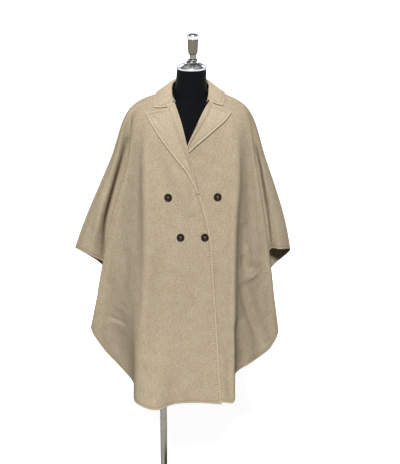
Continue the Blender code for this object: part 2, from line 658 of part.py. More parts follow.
# --------------------------------------------------------------- the panels
def make_panels(form):
    """Fronts and back, cut from the ring of cloth."""
    upper, lower, cuff_row, seams = cloth_grids()
    form_tree = surface_tree(form)
    for _ in range(CLEARING_PASSES):
        keep_clear(upper, joint_reaches([upper])[0], [form_tree], FORM_GAP)
    right_seam, left_seam = seams["overarm"]
    right_in, right_out, left_out, left_in = seams["underarm"]
    side_right, side_left = seams["side"]
    last_upper, last_lower = upper.shape[0] - 1, lower.shape[0] - 1
    grids = [
        panel_grid(upper, lower, cuff_row, (0, right_seam), (0, right_in), (0, side_right),
                   ((right_in, -1),)),
        panel_grid(upper, lower, cuff_row, (right_seam, left_seam), (right_out, left_out),
                   (side_right, side_left), ((right_out, 1), (left_out, 1))),
        panel_grid(upper, lower, cuff_row, (left_seam, last_upper), (left_in, last_upper),
                   (side_left, last_lower), ((left_in, -1),)),
    ]
    normals = joint_reaches(grids)
    above = joint_reaches([upper])[0]
    for grid_normals, first, column in ((normals[0], 0, right_in),
                                        (normals[1], right_seam, right_out),
                                        (normals[1], right_seam, left_out),
                                        (normals[2], left_seam, left_in)):
        grid_normals[column - first, cuff_row] = above[column, cuff_row - 1]

    last_row = grids[0].shape[1] - 1
    back_in, back_out = right_out - right_seam, left_out - right_seam
    left_column = left_in - left_seam
    end = left_seam - right_seam
    back = cloth_solid("back", grids[1], normals[1], finish("back", WOOL, 0.95),
                       pulled=((0, 0, cuff_row, 1), (end, 0, cuff_row, end - 1),
                               (back_in, cuff_row, last_row, back_in + 1),
                               (back_out, cuff_row, last_row, back_out - 1)))
    left = cloth_solid("front_left", grids[2], normals[2], finish("front_left", WOOL, 0.95),
                       pulled=((0, 0, cuff_row, 1),
                               (left_column, cuff_row, last_row, left_column + 1)))
    left_lapel = make_lapel("lapel_left", LEFT_LAPEL, left, grids[2][-1, :cuff_row], True)
    under = [face_tree(left), face_tree(left_lapel)]
    for _ in range(LAPPING_PASSES):
        keep_clear(grids[0], normals[0], under, LAYER_GAP)
    right = cloth_solid("front_right", grids[0], normals[0], finish("front_right", WOOL, 0.95),
                        pulled=((right_seam, 0, cuff_row, right_seam - 1),
                                (right_in, cuff_row, last_row, right_in - 1)))
    right_lapel = make_lapel("lapel_right", RIGHT_LAPEL, right, grids[0][0, :cuff_row], False)
    return right, back, left, right_lapel, left_lapel


def seat(tree, x, z):
    """Where a line from the front first meets a surface."""
    place, _, _, _ = tree.ray_cast(Vector((x, -1.0, z)), Vector((0.0, 1.0, 0.0)))
    if place is None:
        place, _, _, _ = tree.find_nearest(Vector((x, -0.1, z)))
    return np.array(place)


def at_heights(line, heights):
    """Points of a falling line at the given heights."""
    return np.stack([np.interp(-np.asarray(heights), -line[:, 2], line[:, k])
                     for k in range(3)], axis=1)


def lapel_grid(lapel, tree, edge_line):
    """Grid on the front's face, from a lapel's roll line to its free edge."""
    free = np.array([lapel.peak, *lapel.free_edge])
    run = np.concatenate([[0.0], np.cumsum(np.linalg.norm(np.diff(free, axis=0), axis=1))])
    downs = np.linspace(0.0, 1.0, LAPEL_ROWS + 1)
    free = smooth(run, free, downs * run[-1])
    roll = at_heights(edge_line, lapel.top + (lapel.low - lapel.top) * downs)
    gorge = roll[0, [0, 2]]
    notch = np.array(lapel.notch)
    bend = notch - (gorge + (np.array(lapel.peak) - gorge) * NOTCH_SHARE)
    grid = np.empty((LAPEL_COLUMNS + 1, LAPEL_ROWS + 1, 3))
    grid[0] = roll
    for c in range(1, LAPEL_COLUMNS + 1):
        across = c / LAPEL_COLUMNS
        near_notch = min(across / NOTCH_SHARE, (1 - across) / (1 - NOTCH_SHARE))
        for r, down in enumerate(downs):
            flat = roll[r, [0, 2]] * (1 - across) + free[r] * across
            fade = max(0.0, 1 - down / NOTCH_ROWS)
            grid[c, r] = seat(tree, *(flat + bend * near_notch * fade))
    return grid


def make_lapel(name, lapel, front, edge_line, flip):
    """A lapel laid on its front."""
    tree = face_tree(front)
    grid = lapel_grid(lapel, tree, edge_line)
    width = np.linalg.norm(grid[-1] - grid[0], axis=1)
    across = np.arange(LAPEL_COLUMNS + 1) / LAPEL_COLUMNS / LAPEL_ROLL_SHARE
    bulge = np.sin(math.pi * np.minimum(across, 1.0))
    lift = LAPEL_ROLL * np.outer(bulge, np.minimum(1.0, 2 * width / width[0]))
    if flip:
        grid = grid[::-1]
        lift = lift[::-1]
    grid += joint_reaches([grid])[0] * (LAPEL_GAP + WALL + lift)[..., None]
    for _ in range(CLEARING_PASSES):
        keep_clear(grid, joint_reaches([grid])[0], [tree], LAPEL_GAP)
    return cloth_solid(name, grid, joint_reaches([grid])[0], finish(name, WOOL_LIGHT, 0.95))


def collar_grid(trees):
    """Grid of the collar's face, from the stand's foot over the fold to its edge."""
    marks = np.arange(len(COLLAR))
    at = spaced(marks, [COLLAR_COLUMNS] * (len(COLLAR) - 1))
    feet = smooth(marks, [station.foot for station in COLLAR], at)
    folds = smooth(marks, [station.fold for station in COLLAR], at)
    crowns = smooth(marks, [station.crown for station in COLLAR], at)
    edges = smooth(marks, [station.edge for station in COLLAR], at)
    alongs = unit(np.gradient(folds, axis=0))
    grid = []
    for foot, fold, along, crown, edge in zip(feet, folds, alongs, crowns, edges):
        arc = fold_arc(foot, fold, along, crown)
        place, normal, _, _ = nearest(trees, edge)
        edge = np.array(place) + np.array(normal) * (COLLAR_GAP + WALL)
        fall = smooth((0.0, CROWN_SHARE, 1.0), (arc[-1], crown, edge), FALL_SHARES)
        grid.append([foot + (arc[0] - foot) * share for share in STAND_SHARES]
                    + list(arc) + list(fall))
    return np.array(grid)


def fold_arc(foot, fold, along, crown):
    """Points square round the fold, touching the lines to the foot and the crown."""
    up = np.array((0.0, 0.0, 1.0))
    up = unit(up - along * (up @ along))
    outward = np.cross(along, up)
    outward = outward if outward @ (crown - foot) > 0 else -outward
    middle = fold - up * COLLAR_FOLD
    turns = []
    for point, side in ((foot, -1.0), (crown, 1.0)):
        across, rise = (point - middle) @ outward, (point - middle) @ up
        spread = math.acos(min(1.0, COLLAR_FOLD / math.hypot(across, rise)))
        turns.append(math.atan2(rise, across) + side * spread)
    start, end = turns
    if start < 0.0:
        start += 2 * math.pi
    angles = np.linspace(start, end, FOLD_STEPS + 1)[:, None]
    return middle + COLLAR_FOLD * (outward * np.cos(angles) + up * np.sin(angles))


def nearest(trees, point):
    """Nearest place on several surfaces."""
    found = [tree.find_nearest(Vector(point)) for tree in trees]
    return min(found, key=lambda hit: hit[3])


def make_collar(pieces, form):
    """The collar, its stand inside the neck and its fall on the shoulders."""
    trees = [face_tree(piece) for piece in pieces]
    form_tree = surface_tree(form)
    grid = collar_grid(trees)
    for _ in range(CLEARING_PASSES):
        normals = joint_reaches([grid])[0]
        keep_clear(grid, normals, trees, COLLAR_GAP)
        keep_clear(grid, normals, [form_tree], FORM_GAP, 0.0)
    return cloth_solid("collar", grid, joint_reaches([grid])[0],
                       finish("collar", WOOL_LIGHT, 0.95))


def make_button(name, place, normal, shape):
    """One button, flat on the cloth, with four holes through it."""
    piece = bpy.data.objects.new(name, shape.copy())
    bpy.context.scene.collection.objects.link(piece)
    piece.data.materials.append(finish(name, HORN, 0.3))
    piece.location = place + normal * BUTTON_GAP
    piece.rotation_mode = "QUATERNION"
    piece.rotation_quaternion = Vector((0.0, 0.0, 1.0)).rotation_difference(Vector(normal))
    return piece


def button_shape():
    """A button's mesh, foot at the origin and facing up, with its holes cut."""
    disc = turned("button_disc", BUTTON_PROFILE, 0.0, (0.0, 0.0), BUTTON_SEGMENTS, None)
    drills = []
    for k in range(4):
        angle = math.radians(45 + 90 * k)
        centre = (BUTTON_HOLE_OFFSET * math.cos(angle), BUTTON_HOLE_OFFSET * math.sin(angle))
        sides = ((BUTTON_HOLE_RADIUS, 0.0), (BUTTON_HOLE_RADIUS, BUTTON_DRILL))
        drill = turned("drill", sides, -BUTTON_DRILL / 2, centre, BUTTON_HOLE_SIDES, None)
        cut = disc.modifiers.new("hole", "BOOLEAN")
        cut.operation = "DIFFERENCE"
        cut.object = drill
        drills.append(drill)
    drilled = disc.evaluated_get(bpy.context.evaluated_depsgraph_get())
    shape = bpy.data.meshes.new_from_object(drilled)
    shape.materials.clear()
    for spare in (disc, *drills):
        bpy.data.objects.remove(spare, do_unlink=True)
    return shape


def make_buttons(right, left):
    """Two buttons on each row; the upper left one is on the left front."""
    trees = {"right": face_tree(right), "left": face_tree(left)}
    shape = button_shape()
    for name, (front, x, z) in BUTTONS.items():
        place, normal, _, _ = trees[front].find_nearest(Vector(seat(trees[front], x, z)))
        make_button(name, place, normal, shape)


def main():
    """Build every piece, each set on what carries it."""
    clear_scene()
    form = make_form()
    make_stand()
    right, back, left, right_lapel, left_lapel = make_panels(form)
    make_collar((right, back, left), form)
    make_buttons(right, left)


main()
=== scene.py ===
"""Looks of a double-breasted wool cape on a dress form with a pole stand.

Metres, +Z up, the front faces -Y and +X is the viewer's right.  "right" and
"left" in names are the wearer's.  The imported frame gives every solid; this
script dresses it with finer cloth, its folds, sewing and nap, buttons with
their thread, a smooth jersey torso and turned metal.
"""

from __future__ import annotations

import logging
import math
from dataclasses import dataclass, field
from enum import Enum
from typing import Any, Optional, Sequence

import bpy
import numpy as np
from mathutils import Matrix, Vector
from mathutils.bvhtree import BVHTree
from mathutils.kdtree import KDTree

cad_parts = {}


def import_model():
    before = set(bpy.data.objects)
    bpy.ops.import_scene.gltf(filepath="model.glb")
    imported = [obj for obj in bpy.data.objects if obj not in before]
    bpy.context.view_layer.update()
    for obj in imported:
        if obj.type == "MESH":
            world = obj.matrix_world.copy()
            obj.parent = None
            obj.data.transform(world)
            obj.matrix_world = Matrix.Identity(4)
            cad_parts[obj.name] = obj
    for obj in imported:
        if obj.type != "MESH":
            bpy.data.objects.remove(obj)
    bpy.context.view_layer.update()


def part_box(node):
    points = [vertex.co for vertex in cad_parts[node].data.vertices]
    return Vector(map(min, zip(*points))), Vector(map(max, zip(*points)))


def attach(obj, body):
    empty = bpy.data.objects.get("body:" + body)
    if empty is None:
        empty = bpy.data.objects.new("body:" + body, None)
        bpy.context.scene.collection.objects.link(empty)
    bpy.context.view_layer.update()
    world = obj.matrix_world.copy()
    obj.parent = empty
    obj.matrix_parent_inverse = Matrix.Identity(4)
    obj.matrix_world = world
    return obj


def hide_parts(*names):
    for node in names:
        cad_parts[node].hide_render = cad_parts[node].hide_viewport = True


LOG = logging.getLogger("cape")

Colour = tuple[float, float, float]
Point = tuple[float, float, float]
Place = tuple[float, float]

BODY = "root"
WALL = 0.0025            # thickness of the double-faced wool
SEAM_GAP = 0.0003
FORM_GAP = 0.0012
LAYER_GAP = 0.0006
REACH_LIMIT = 0.03
EDGE_LIMIT = 0.004
UNDERARM_SPLIT = 0.0055
UNDERARM_REACH = 0.033   # how far up and down the split fades out, by station
CUFF_FADE = 0.06         # how far below the cuffs the lower ring is drawn to the upper
FAR_FROM_EDGE = 0.05     # edge distance of a point that is nowhere near an edge
EDGE_PITCH = 0.0015

NECK_CENTRE_Y = 0.010
NECK_HALF_WIDTH = 0.078
NECK_HALF_DEPTH = 0.064
NECK_MID_Z = 1.4690
NECK_TILT = 0.0135

STATIONS = {"neck": 0.0, "shoulder": 0.14, "upper": 0.30, "waist": 0.50,
            "cuff": 0.60, "low": 0.78, "hem": 1.0}
# Rows of mesh between one station and the next, and columns between folds.
STATION_ROWS = {"neck": 30, "shoulder": 30, "upper": 40, "waist": 20, "cuff": 36,
                "low": 46}
FOLD_COLUMNS = 10


@dataclass(frozen=True)
class Fold:
    """A fold line: its bearing on the neck ring in degrees, then its stations."""

    name: str
    neck: float
    shoulder: Point
    upper: Point
    waist: Point
    cuff: Optional[Point] = None
    low: Optional[Point] = None
    hem: Optional[Point] = None


@dataclass(frozen=True)
class LapelShape:
    """A lapel seen from the front: heights, then places across and up.

    The seam is where it meets the collar's end, from the roll to the notch.
    """

    top: float
    low: float
    seam: Place
    notch: Place
    peak: Place
    free_edge: tuple[Place, ...]


@dataclass(frozen=True)
class CollarStation:
    """A section across the collar, from the stand's foot to the fall's edge."""

    name: str
    foot: Point
    fold: Point
    crown: Point
    edge: Point


@dataclass(frozen=True)
class Crease:
    """A soft trough (negative depth) or ridge along a line seen from the front."""

    path: tuple[Place, ...]
    width: float
    depth: float


# ---------------------------------------------------------------- fold lines
# Right front, which laps over the left one, from its free edge to the overarm
# seam.  The first stations of the edge follow the lapel's roll line.
RIGHT_UNDERARM = (-0.257, 0.023, 0.852)
RIGHT_FRONT = (
    Fold("edge", 48, (-0.0305, -0.094, 1.397), (0.0075, -0.128, 1.245),
         (0.0605, -0.154, 1.037), (0.069, -0.164, 0.930), (0.0835, -0.181, 0.700),
         (0.098, -0.206, 0.4760)),
    Fold("centre", 52, (-0.057, -0.087, 1.400), (-0.024, -0.126, 1.247),
         (0.018, -0.155, 1.040), None, (0.010, -0.182, 0.700), (0.003, -0.203, 0.480)),
    Fold("hem_dip", 56, (-0.082, -0.078, 1.402), (-0.058, -0.124, 1.247),
         (-0.030, -0.154, 1.045), None, (-0.050, -0.184, 0.700), (-0.062, -0.213, 0.479)),
    Fold("hem_wave", 60, (-0.102, -0.070, 1.405), (-0.093, -0.119, 1.248),
         (-0.085, -0.153, 1.050), None, (-0.105, -0.192, 0.700), (-0.118, -0.240, 0.4715)),
    Fold("front_ridge", 65, (-0.130, -0.058, 1.410), (-0.150, -0.114, 1.250),
         (-0.153, -0.152, 1.050), None, (-0.172, -0.188, 0.720), (-0.186, -0.207, 0.484)),
    Fold("front_trough", 70, (-0.148, -0.048, 1.411), (-0.168, -0.090, 1.250),
         (-0.184, -0.110, 1.040), None, (-0.202, -0.137, 0.740), (-0.196, -0.108, 0.507)),
    Fold("side_swell", 75, (-0.160, -0.041, 1.412), (-0.184, -0.073, 1.250),
         (-0.216, -0.076, 1.037), None, (-0.244, -0.080, 0.772), (-0.242, -0.071, 0.549)),
    Fold("side_flare", 79, (-0.169, -0.034, 1.411), (-0.195, -0.062, 1.250),
         (-0.242, -0.053, 1.043), None, (-0.289, -0.040, 0.779), (-0.304, -0.030, 0.602)),
    Fold("side_ridge", 83, (-0.175, -0.028, 1.411), (-0.204, -0.051, 1.250),
         (-0.262, -0.046, 1.047), None, (-0.3195, -0.029, 0.776), (-0.342, -0.010, 0.670)),
    Fold("underarm", 87, (-0.183, -0.014, 1.414), (-0.197, 0.008, 1.250),
         (-0.238, 0.022, 1.050), RIGHT_UNDERARM, (-0.281, 0.026, 0.780),
         (-0.300, 0.030, 0.706)),
    Fold("sleeve_inner", 89, (-0.1890, -0.009, 1.417), (-0.219, -0.003, 1.250),
         (-0.266, 0.003, 1.051), (-0.284, 0.010, 0.888)),
    Fold("sleeve_front", 91, (-0.1925, -0.005, 1.420), (-0.247, -0.020, 1.250),
         (-0.305, -0.026, 1.052), (-0.337, -0.022, 0.930)),
    Fold("overarm", 95, (-0.193, 0.002, 1.4255), (-0.262, 0.000, 1.250),
         (-0.345, 0.004, 1.050), (-0.384, 0.012, 0.941)),
)

# Left front, from the overarm seam to its free edge under the right one.
LEFT_UNDERARM = (0.228, 0.022, 0.846)
LEFT_FRONT = (
    Fold("overarm", 95, (0.1765, 0.000, 1.4235), (0.222, -0.010, 1.250),
         (0.270, -0.008, 1.050), (0.288, -0.010, 0.947)),
    Fold("sleeve_front", 91, (0.1765, -0.007, 1.418), (0.212, -0.003, 1.250),
         (0.247, 0.003, 1.050), (0.262, 0.006, 0.943)),
    Fold("underarm", 87, (0.176, -0.014, 1.412), (0.188, 0.002, 1.250),
         (0.212, 0.012, 1.050), LEFT_UNDERARM, (0.245, 0.024, 0.780),
         (0.262, 0.028, 0.700)),
    Fold("side_ridge", 83, (0.172, -0.024, 1.409), (0.2035, -0.046, 1.250),
         (0.236, -0.046, 1.050), None, (0.2752, -0.032, 0.775), (0.291, -0.020, 0.662)),
    Fold("side_flare", 79, (0.165, -0.032, 1.409), (0.193, -0.057, 1.250),
         (0.214, -0.064, 1.045), None, (0.243, -0.052, 0.775), (0.265, -0.044, 0.608)),
    Fold("side_swell", 75, (0.154, -0.040, 1.410), (0.179, -0.070, 1.250),
         (0.184, -0.088, 1.040), None, (0.196, -0.090, 0.770), (0.206, -0.074, 0.571)),
    Fold("front_trough", 70, (0.142, -0.048, 1.410), (0.163, -0.090, 1.250),
         (0.154, -0.120, 1.040), None, (0.150, -0.140, 0.740), (0.142, -0.120, 0.543)),
    Fold("front_ridge", 65, (0.125, -0.057, 1.409), (0.1485, -0.110, 1.250),
         (0.1355, -0.150, 1.050), None, (0.1355, -0.182, 0.720), (0.138, -0.205, 0.483)),
    Fold("hem_wave", 60, (0.098, -0.069, 1.406), (0.105, -0.116, 1.250),
         (0.100, -0.146, 1.040), None, (0.102, -0.176, 0.700), (0.108, -0.198, 0.479)),
    Fold("hem_dip", 56, (0.076, -0.076, 1.403), (0.060, -0.116, 1.250),
         (0.052, -0.140, 1.040), None, (0.055, -0.162, 0.700), (0.058, -0.186, 0.479)),
    Fold("centre", 52, (0.050, -0.081, 1.401), (0.012, -0.116, 1.250),
         (0.000, -0.139, 1.040), None, (-0.005, -0.163, 0.700), (-0.005, -0.182, 0.481)),
    Fold("edge", 48, (0.0195, -0.088, 1.400), (-0.041, -0.116, 1.250),
         (-0.060, -0.137, 1.040), None, (-0.072, -0.162, 0.700), (-0.085, -0.184, 0.482)),
)

# Back, from the right overarm seam round to the left one.
BACK = (
    Fold("sleeve_edge", 101, (-0.193, 0.009, 1.4255), (-0.265, 0.011, 1.250),
         (-0.350, 0.021, 1.050), (-0.3906, 0.029, 0.939)),
    Fold("sleeve_back", 107, (-0.192, 0.016, 1.421), (-0.243, 0.040, 1.250),
         (-0.290, 0.062, 1.050), (-0.326, 0.076, 0.880)),
    Fold("underarm", 113, (-0.190, 0.024, 1.416), (-0.207, 0.038, 1.250),
         (-0.234, 0.050, 1.050), RIGHT_UNDERARM),
    Fold("side_ridge", 120, (-0.182, 0.034, 1.413), (-0.203, 0.080, 1.250),
         (-0.238, 0.116, 1.045), None, (-0.292, 0.116, 0.775), (-0.310, 0.108, 0.690)),
    Fold("side_swell", 130, (-0.158, 0.050, 1.415), (-0.172, 0.102, 1.250),
         (-0.196, 0.142, 1.045), None, (-0.238, 0.170, 0.740), (-0.250, 0.174, 0.600)),
    Fold("back_trough", 142, (-0.120, 0.064, 1.421), (-0.128, 0.120, 1.250),
         (-0.138, 0.152, 1.040), None, (-0.152, 0.162, 0.720), (-0.156, 0.158, 0.535)),
    Fold("back_wave", 158, (-0.068, 0.078, 1.430), (-0.076, 0.132, 1.250),
         (-0.082, 0.174, 1.040), None, (-0.092, 0.208, 0.700), (-0.098, 0.228, 0.490)),
    Fold("back_centre", 180, (0.004, 0.084, 1.432), (0.004, 0.132, 1.250),
         (0.002, 0.164, 1.040), None, (0.000, 0.184, 0.700), (-0.004, 0.192, 0.470)),
    Fold("back_wave", -158, (0.070, 0.078, 1.429), (0.080, 0.131, 1.250),
         (0.078, 0.170, 1.040), None, (0.080, 0.200, 0.700), (0.086, 0.222, 0.482)),
    Fold("back_trough", -142, (0.118, 0.064, 1.418), (0.130, 0.118, 1.250),
         (0.132, 0.150, 1.040), None, (0.134, 0.160, 0.720), (0.138, 0.160, 0.532)),
    Fold("side_swell", -130, (0.150, 0.050, 1.412), (0.168, 0.098, 1.250),
         (0.180, 0.136, 1.045), None, (0.208, 0.160, 0.740), (0.220, 0.166, 0.590)),
    Fold("side_ridge", -120, (0.172, 0.034, 1.409), (0.188, 0.080, 1.250),
         (0.212, 0.116, 1.045), None, (0.254, 0.116, 0.775), (0.266, 0.108, 0.684)),
    Fold("underarm", -113, (0.175, 0.024, 1.413), (0.188, 0.038, 1.250),
         (0.207, 0.050, 1.050), LEFT_UNDERARM),
    Fold("sleeve_back", -107, (0.1760, 0.016, 1.419), (0.226, 0.044, 1.250),
         (0.262, 0.070, 1.050), (0.288, 0.078, 0.872)),
    Fold("sleeve_edge", -101, (0.1765, 0.008, 1.4235), (0.241, 0.014, 1.250),
         (0.305, 0.030, 1.050), (0.3294, 0.036, 0.930)),
)

RIGHT_LAPEL = LapelShape(
    top=1.4515, low=1.1780, seam=(-0.0745, 1.4392),
    notch=(-0.0760, 1.4300), peak=(-0.1455, 1.4160),
    free_edge=((-0.1156, 1.3702), (-0.0899, 1.3357), (-0.0522, 1.2884),
               (-0.0145, 1.2409), (-0.0030, 1.2206), (0.0190, 1.1765)))
LEFT_LAPEL = LapelShape(
    top=1.4560, low=1.2980, seam=(0.0660, 1.4478),
    notch=(0.0680, 1.4405), peak=(0.1240, 1.4178),
    free_edge=((0.1096, 1.4009), (0.0732, 1.3719), (0.0421, 1.3468),
               (0.0170, 1.3273), (-0.0165, 1.2960)))

COLLAR = (
    CollarStation("right_notch", (-0.0520, -0.0450, 1.4500), (-0.0570, -0.0490, 1.4565),
                  (-0.0765, -0.0560, 1.4400), (-0.1180, -0.0450, 1.4330)),
    CollarStation("right_front", (-0.0575, -0.0295, 1.4625), (-0.0640, -0.0340, 1.4750),
                  (-0.0830, -0.0350, 1.4670), (-0.1163, -0.0240, 1.4500)),
    CollarStation("right_side", (-0.0715, -0.0090, 1.4670), (-0.0660, -0.0100, 1.4920),
                  (-0.0850, -0.0050, 1.4870), (-0.1148, 0.0020, 1.4600)),
    CollarStation("right_shoulder", (-0.0740, 0.0205, 1.4725), (-0.0620, 0.0180, 1.5040),
                  (-0.0800, 0.0270, 1.4940), (-0.1090, 0.0360, 1.4560)),
    CollarStation("right_back", (-0.0560, 0.0510, 1.4795), (-0.0430, 0.0480, 1.5110),
                  (-0.0560, 0.0640, 1.4980), (-0.0780, 0.0700, 1.4460)),
    CollarStation("back", (0.0000, 0.0710, 1.4835), (0.0000, 0.0620, 1.5140),
                  (0.0000, 0.0790, 1.4990), (0.0000, 0.0860, 1.4370)),
    CollarStation("left_back", (0.0560, 0.0510, 1.4795), (0.0410, 0.0480, 1.5090),
                  (0.0540, 0.0630, 1.4960), (0.0740, 0.0680, 1.4440)),
    CollarStation("left_shoulder", (0.0740, 0.0205, 1.4725), (0.0570, 0.0180, 1.4990),
                  (0.0740, 0.0270, 1.4900), (0.1000, 0.0340, 1.4540)),
    CollarStation("left_side", (0.0715, -0.0090, 1.4670), (0.0570, -0.0100, 1.4860),
                  (0.0750, -0.0050, 1.4820), (0.1041, -0.0020, 1.4580)),
    CollarStation("left_front", (0.0575, -0.0295, 1.4610), (0.0555, -0.0325, 1.4735),
                  (0.0735, -0.0330, 1.4665), (0.1025, -0.0230, 1.4500)),
    CollarStation("left_notch", (0.0470, -0.0430, 1.4510), (0.0505, -0.0430, 1.4605),
                  (0.0665, -0.0470, 1.4510), (0.0978, -0.0430, 1.4380)),
)

# Body sections: height, half width, depth in front, depth behind, roundness
# (2 is an ellipse, more is squarer) and the middle's place across.
FORM_SECTIONS = (
    (0.780, 0.128, 0.078, 0.084, 2.2, -0.006),
    (0.788, 0.150, 0.098, 0.104, 2.2, -0.006),
    (0.810, 0.162, 0.106, 0.116, 2.2, -0.006),
    (0.870, 0.170, 0.108, 0.124, 2.2, -0.006),
    (0.960, 0.146, 0.096, 0.104, 2.2, -0.006),
    (1.060, 0.121, 0.088, 0.086, 2.2, -0.006),
    (1.160, 0.137, 0.104, 0.094, 2.2, -0.006),
    (1.245, 0.150, 0.110, 0.102, 2.3, -0.006),
    (1.320, 0.158, 0.098, 0.104, 2.3, -0.006),
    (1.375, 0.170, 0.082, 0.092, 2.2, -0.006),
    (1.402, 0.1745, 0.070, 0.080, 2.0, -0.006),
    (1.418, 0.1680, 0.060, 0.070, 1.9, -0.006),
    (1.428, 0.1520, 0.056, 0.066, 1.8, -0.006),
    (1.440, 0.1220, 0.053, 0.062, 1.75, -0.006),
    (1.452, 0.0920, 0.051, 0.058, 1.75, -0.005),
    (1.464, 0.0690, 0.049, 0.054, 1.85, -0.005),
    (1.482, 0.0545, 0.048, 0.050, 1.95, -0.004),
    (1.505, 0.0490, 0.047, 0.048, 2.0, -0.002),
    (1.5492, 0.0468, 0.0468, 0.0468, 2.0, 0.000),
)


# ------------------------------------------------------------ creases
RIGHT_CREASES = (
    Crease(((-0.0900, 1.3000), (-0.0660, 1.2620), (-0.0380, 1.2050), (-0.0160, 1.1500),
            (0.0020, 1.1050)), 0.0200, 0.0062),
    Crease(((-0.2816, 0.7271), (-0.261, 0.7222), (-0.237, 0.7232), (-0.2132, 0.7262)),
           0.0055, -0.0026),
    Crease(((-0.2974, 0.6754), (-0.2719, 0.7012), (-0.2441, 0.7106), (-0.2169, 0.7083)),
           0.0090, 0.0018),
    Crease(((-0.2633, 0.7700), (-0.2293, 0.7674), (-0.2022, 0.7591)), 0.0120, 0.0018),
    Crease(((-0.1668, 1.2600), (-0.1675, 1.1048), (-0.1690, 0.9608), (-0.1745, 0.8296),
            (-0.1800, 0.6700)), 0.0130, -0.0056),
    Crease(((-0.1376, 1.2700), (-0.1352, 1.1088), (-0.1330, 0.9648), (-0.1470, 0.8330),
            (-0.1560, 0.6600)), 0.0150, 0.0035),
    Crease(((-0.1000, 1.0300), (-0.0950, 0.8800), (-0.1020, 0.7600), (-0.1060, 0.6200)),
           0.0240, -0.0035),
    Crease(((-0.0500, 0.9900), (-0.0580, 0.8200), (-0.0500, 0.6400), (-0.0420, 0.5400)),
           0.0260, 0.0029),
    Crease(((0.0100, 0.9500), (-0.0040, 0.8000), (-0.0120, 0.6700)), 0.0220, -0.0024),
    Crease(((-0.1150, 1.3300), (-0.1080, 1.2500), (-0.1000, 1.1600)), 0.0180, -0.0026),
    Crease(((-0.2350, 1.0300), (-0.2560, 0.9300), (-0.2700, 0.8400)), 0.0160, 0.0038),
    Crease(((-0.2100, 0.9800), (-0.2180, 0.8800), (-0.2240, 0.8000)), 0.0130, -0.0032),
    Crease(((-0.2850, 1.1500), (-0.3100, 1.0500), (-0.3250, 0.9700)), 0.0120, 0.0029),
    Crease(((-0.3050, 1.1000), (-0.3350, 1.0100), (-0.3500, 0.9600)), 0.0100, -0.0026),
    Crease(((-0.2700, 1.2000), (-0.2860, 1.1200), (-0.3010, 1.0300)), 0.0090, -0.0021),
    Crease(((-0.2300, 0.6900), (-0.2440, 0.6500), (-0.2480, 0.6000)), 0.0150, -0.0035),
    Crease(((-0.2800, 0.7000), (-0.2860, 0.6600), (-0.2840, 0.6200)), 0.0110, 0.0026),
    Crease(((-0.0300, 0.5600), (-0.0220, 0.5100), (-0.0160, 0.4850)), 0.0100, 0.0024),
    Crease(((0.0250, 0.5500), (0.0300, 0.5150), (0.0320, 0.4900)), 0.0090, -0.0019),
)
LEFT_CREASES = (
    Crease(((0.1580, 0.8700), (0.1630, 0.8446), (0.1852, 0.7598), (0.2120, 0.6838),
            (0.2377, 0.6149)), 0.0100, -0.0096),
    Crease(((0.1800, 0.8500), (0.2010, 0.7700), (0.2290, 0.6950), (0.2520, 0.6350)),
           0.0130, 0.0056),
    Crease(((0.1435, 0.7559), (0.1560, 0.6844), (0.1717, 0.6058), (0.1706, 0.5641)),
           0.0120, -0.0064),
    Crease(((0.1640, 0.7400), (0.1820, 0.6800), (0.1980, 0.6200), (0.2040, 0.5850)),
           0.0130, 0.0048),
    Crease(((0.1780, 0.9880), (0.1883, 0.9494), (0.2051, 0.9258), (0.2187, 0.9089)),
           0.0080, 0.0048),
    Crease(((0.1726, 0.8853), (0.1891, 0.8759), (0.2157, 0.8858)), 0.0080, 0.0035),
    Crease(((0.1670, 0.9600), (0.1760, 0.9250), (0.1960, 0.9000)), 0.0090, -0.0045),
    Crease(((0.1644, 1.0700), (0.1684, 0.9627), (0.1726, 0.8869)), 0.0120, -0.0048),
    Crease(((0.1304, 1.3000), (0.1340, 1.1555), (0.1347, 0.9959), (0.1325, 0.8311),
            (0.1335, 0.6400)), 0.0120, 0.0032),
    Crease(((0.1050, 1.2300), (0.1000, 1.1200), (0.0980, 1.0300)), 0.0200, -0.0029),
    Crease(((0.2450, 1.0900), (0.2590, 1.0200), (0.2680, 0.9580)), 0.0060, 0.0035),
    Crease(((0.2360, 1.1200), (0.2480, 1.0450), (0.2560, 0.9700)), 0.0060, -0.0035),
    Crease(((0.2330, 0.8400), (0.2400, 0.7800), (0.2520, 0.7300)), 0.0130, 0.0032),
    Crease(((0.0950, 0.6800), (0.1020, 0.5900), (0.1000, 0.5000)), 0.0110, -0.0029),
    Crease(((0.1180, 0.5900), (0.1200, 0.5400), (0.1220, 0.4950)), 0.0080, 0.0022),
)
RIGHT_SLEEVE_CREASES = (
    Crease(((-0.2020, 1.3300), (-0.2180, 1.2500), (-0.2450, 1.1500), (-0.2720, 1.0470),
            (-0.2830, 0.9500), (-0.2890, 0.9000)), 0.0120, -0.0160),
    Crease(((-0.2700, 1.1800), (-0.2960, 1.0900), (-0.3180, 0.9900)), 0.0110, 0.0030),
)
LEFT_SLEEVE_CREASES = (
    Crease(((0.2000, 1.3000), (0.2090, 1.2500), (0.2250, 1.1500), (0.2410, 1.0500),
            (0.2520, 0.9500), (0.2560, 0.9000)), 0.0085, -0.0130),
)
RIGHT_SIDE_EDGE = (
    Crease(((-0.1760, 1.4000), (-0.1890, 1.3300), (-0.2060, 1.2500), (-0.2340, 1.1500),
            (-0.2630, 1.0470), (-0.2900, 0.9000), (-0.3150, 0.8000)), 0.0070, 0.0045),
)
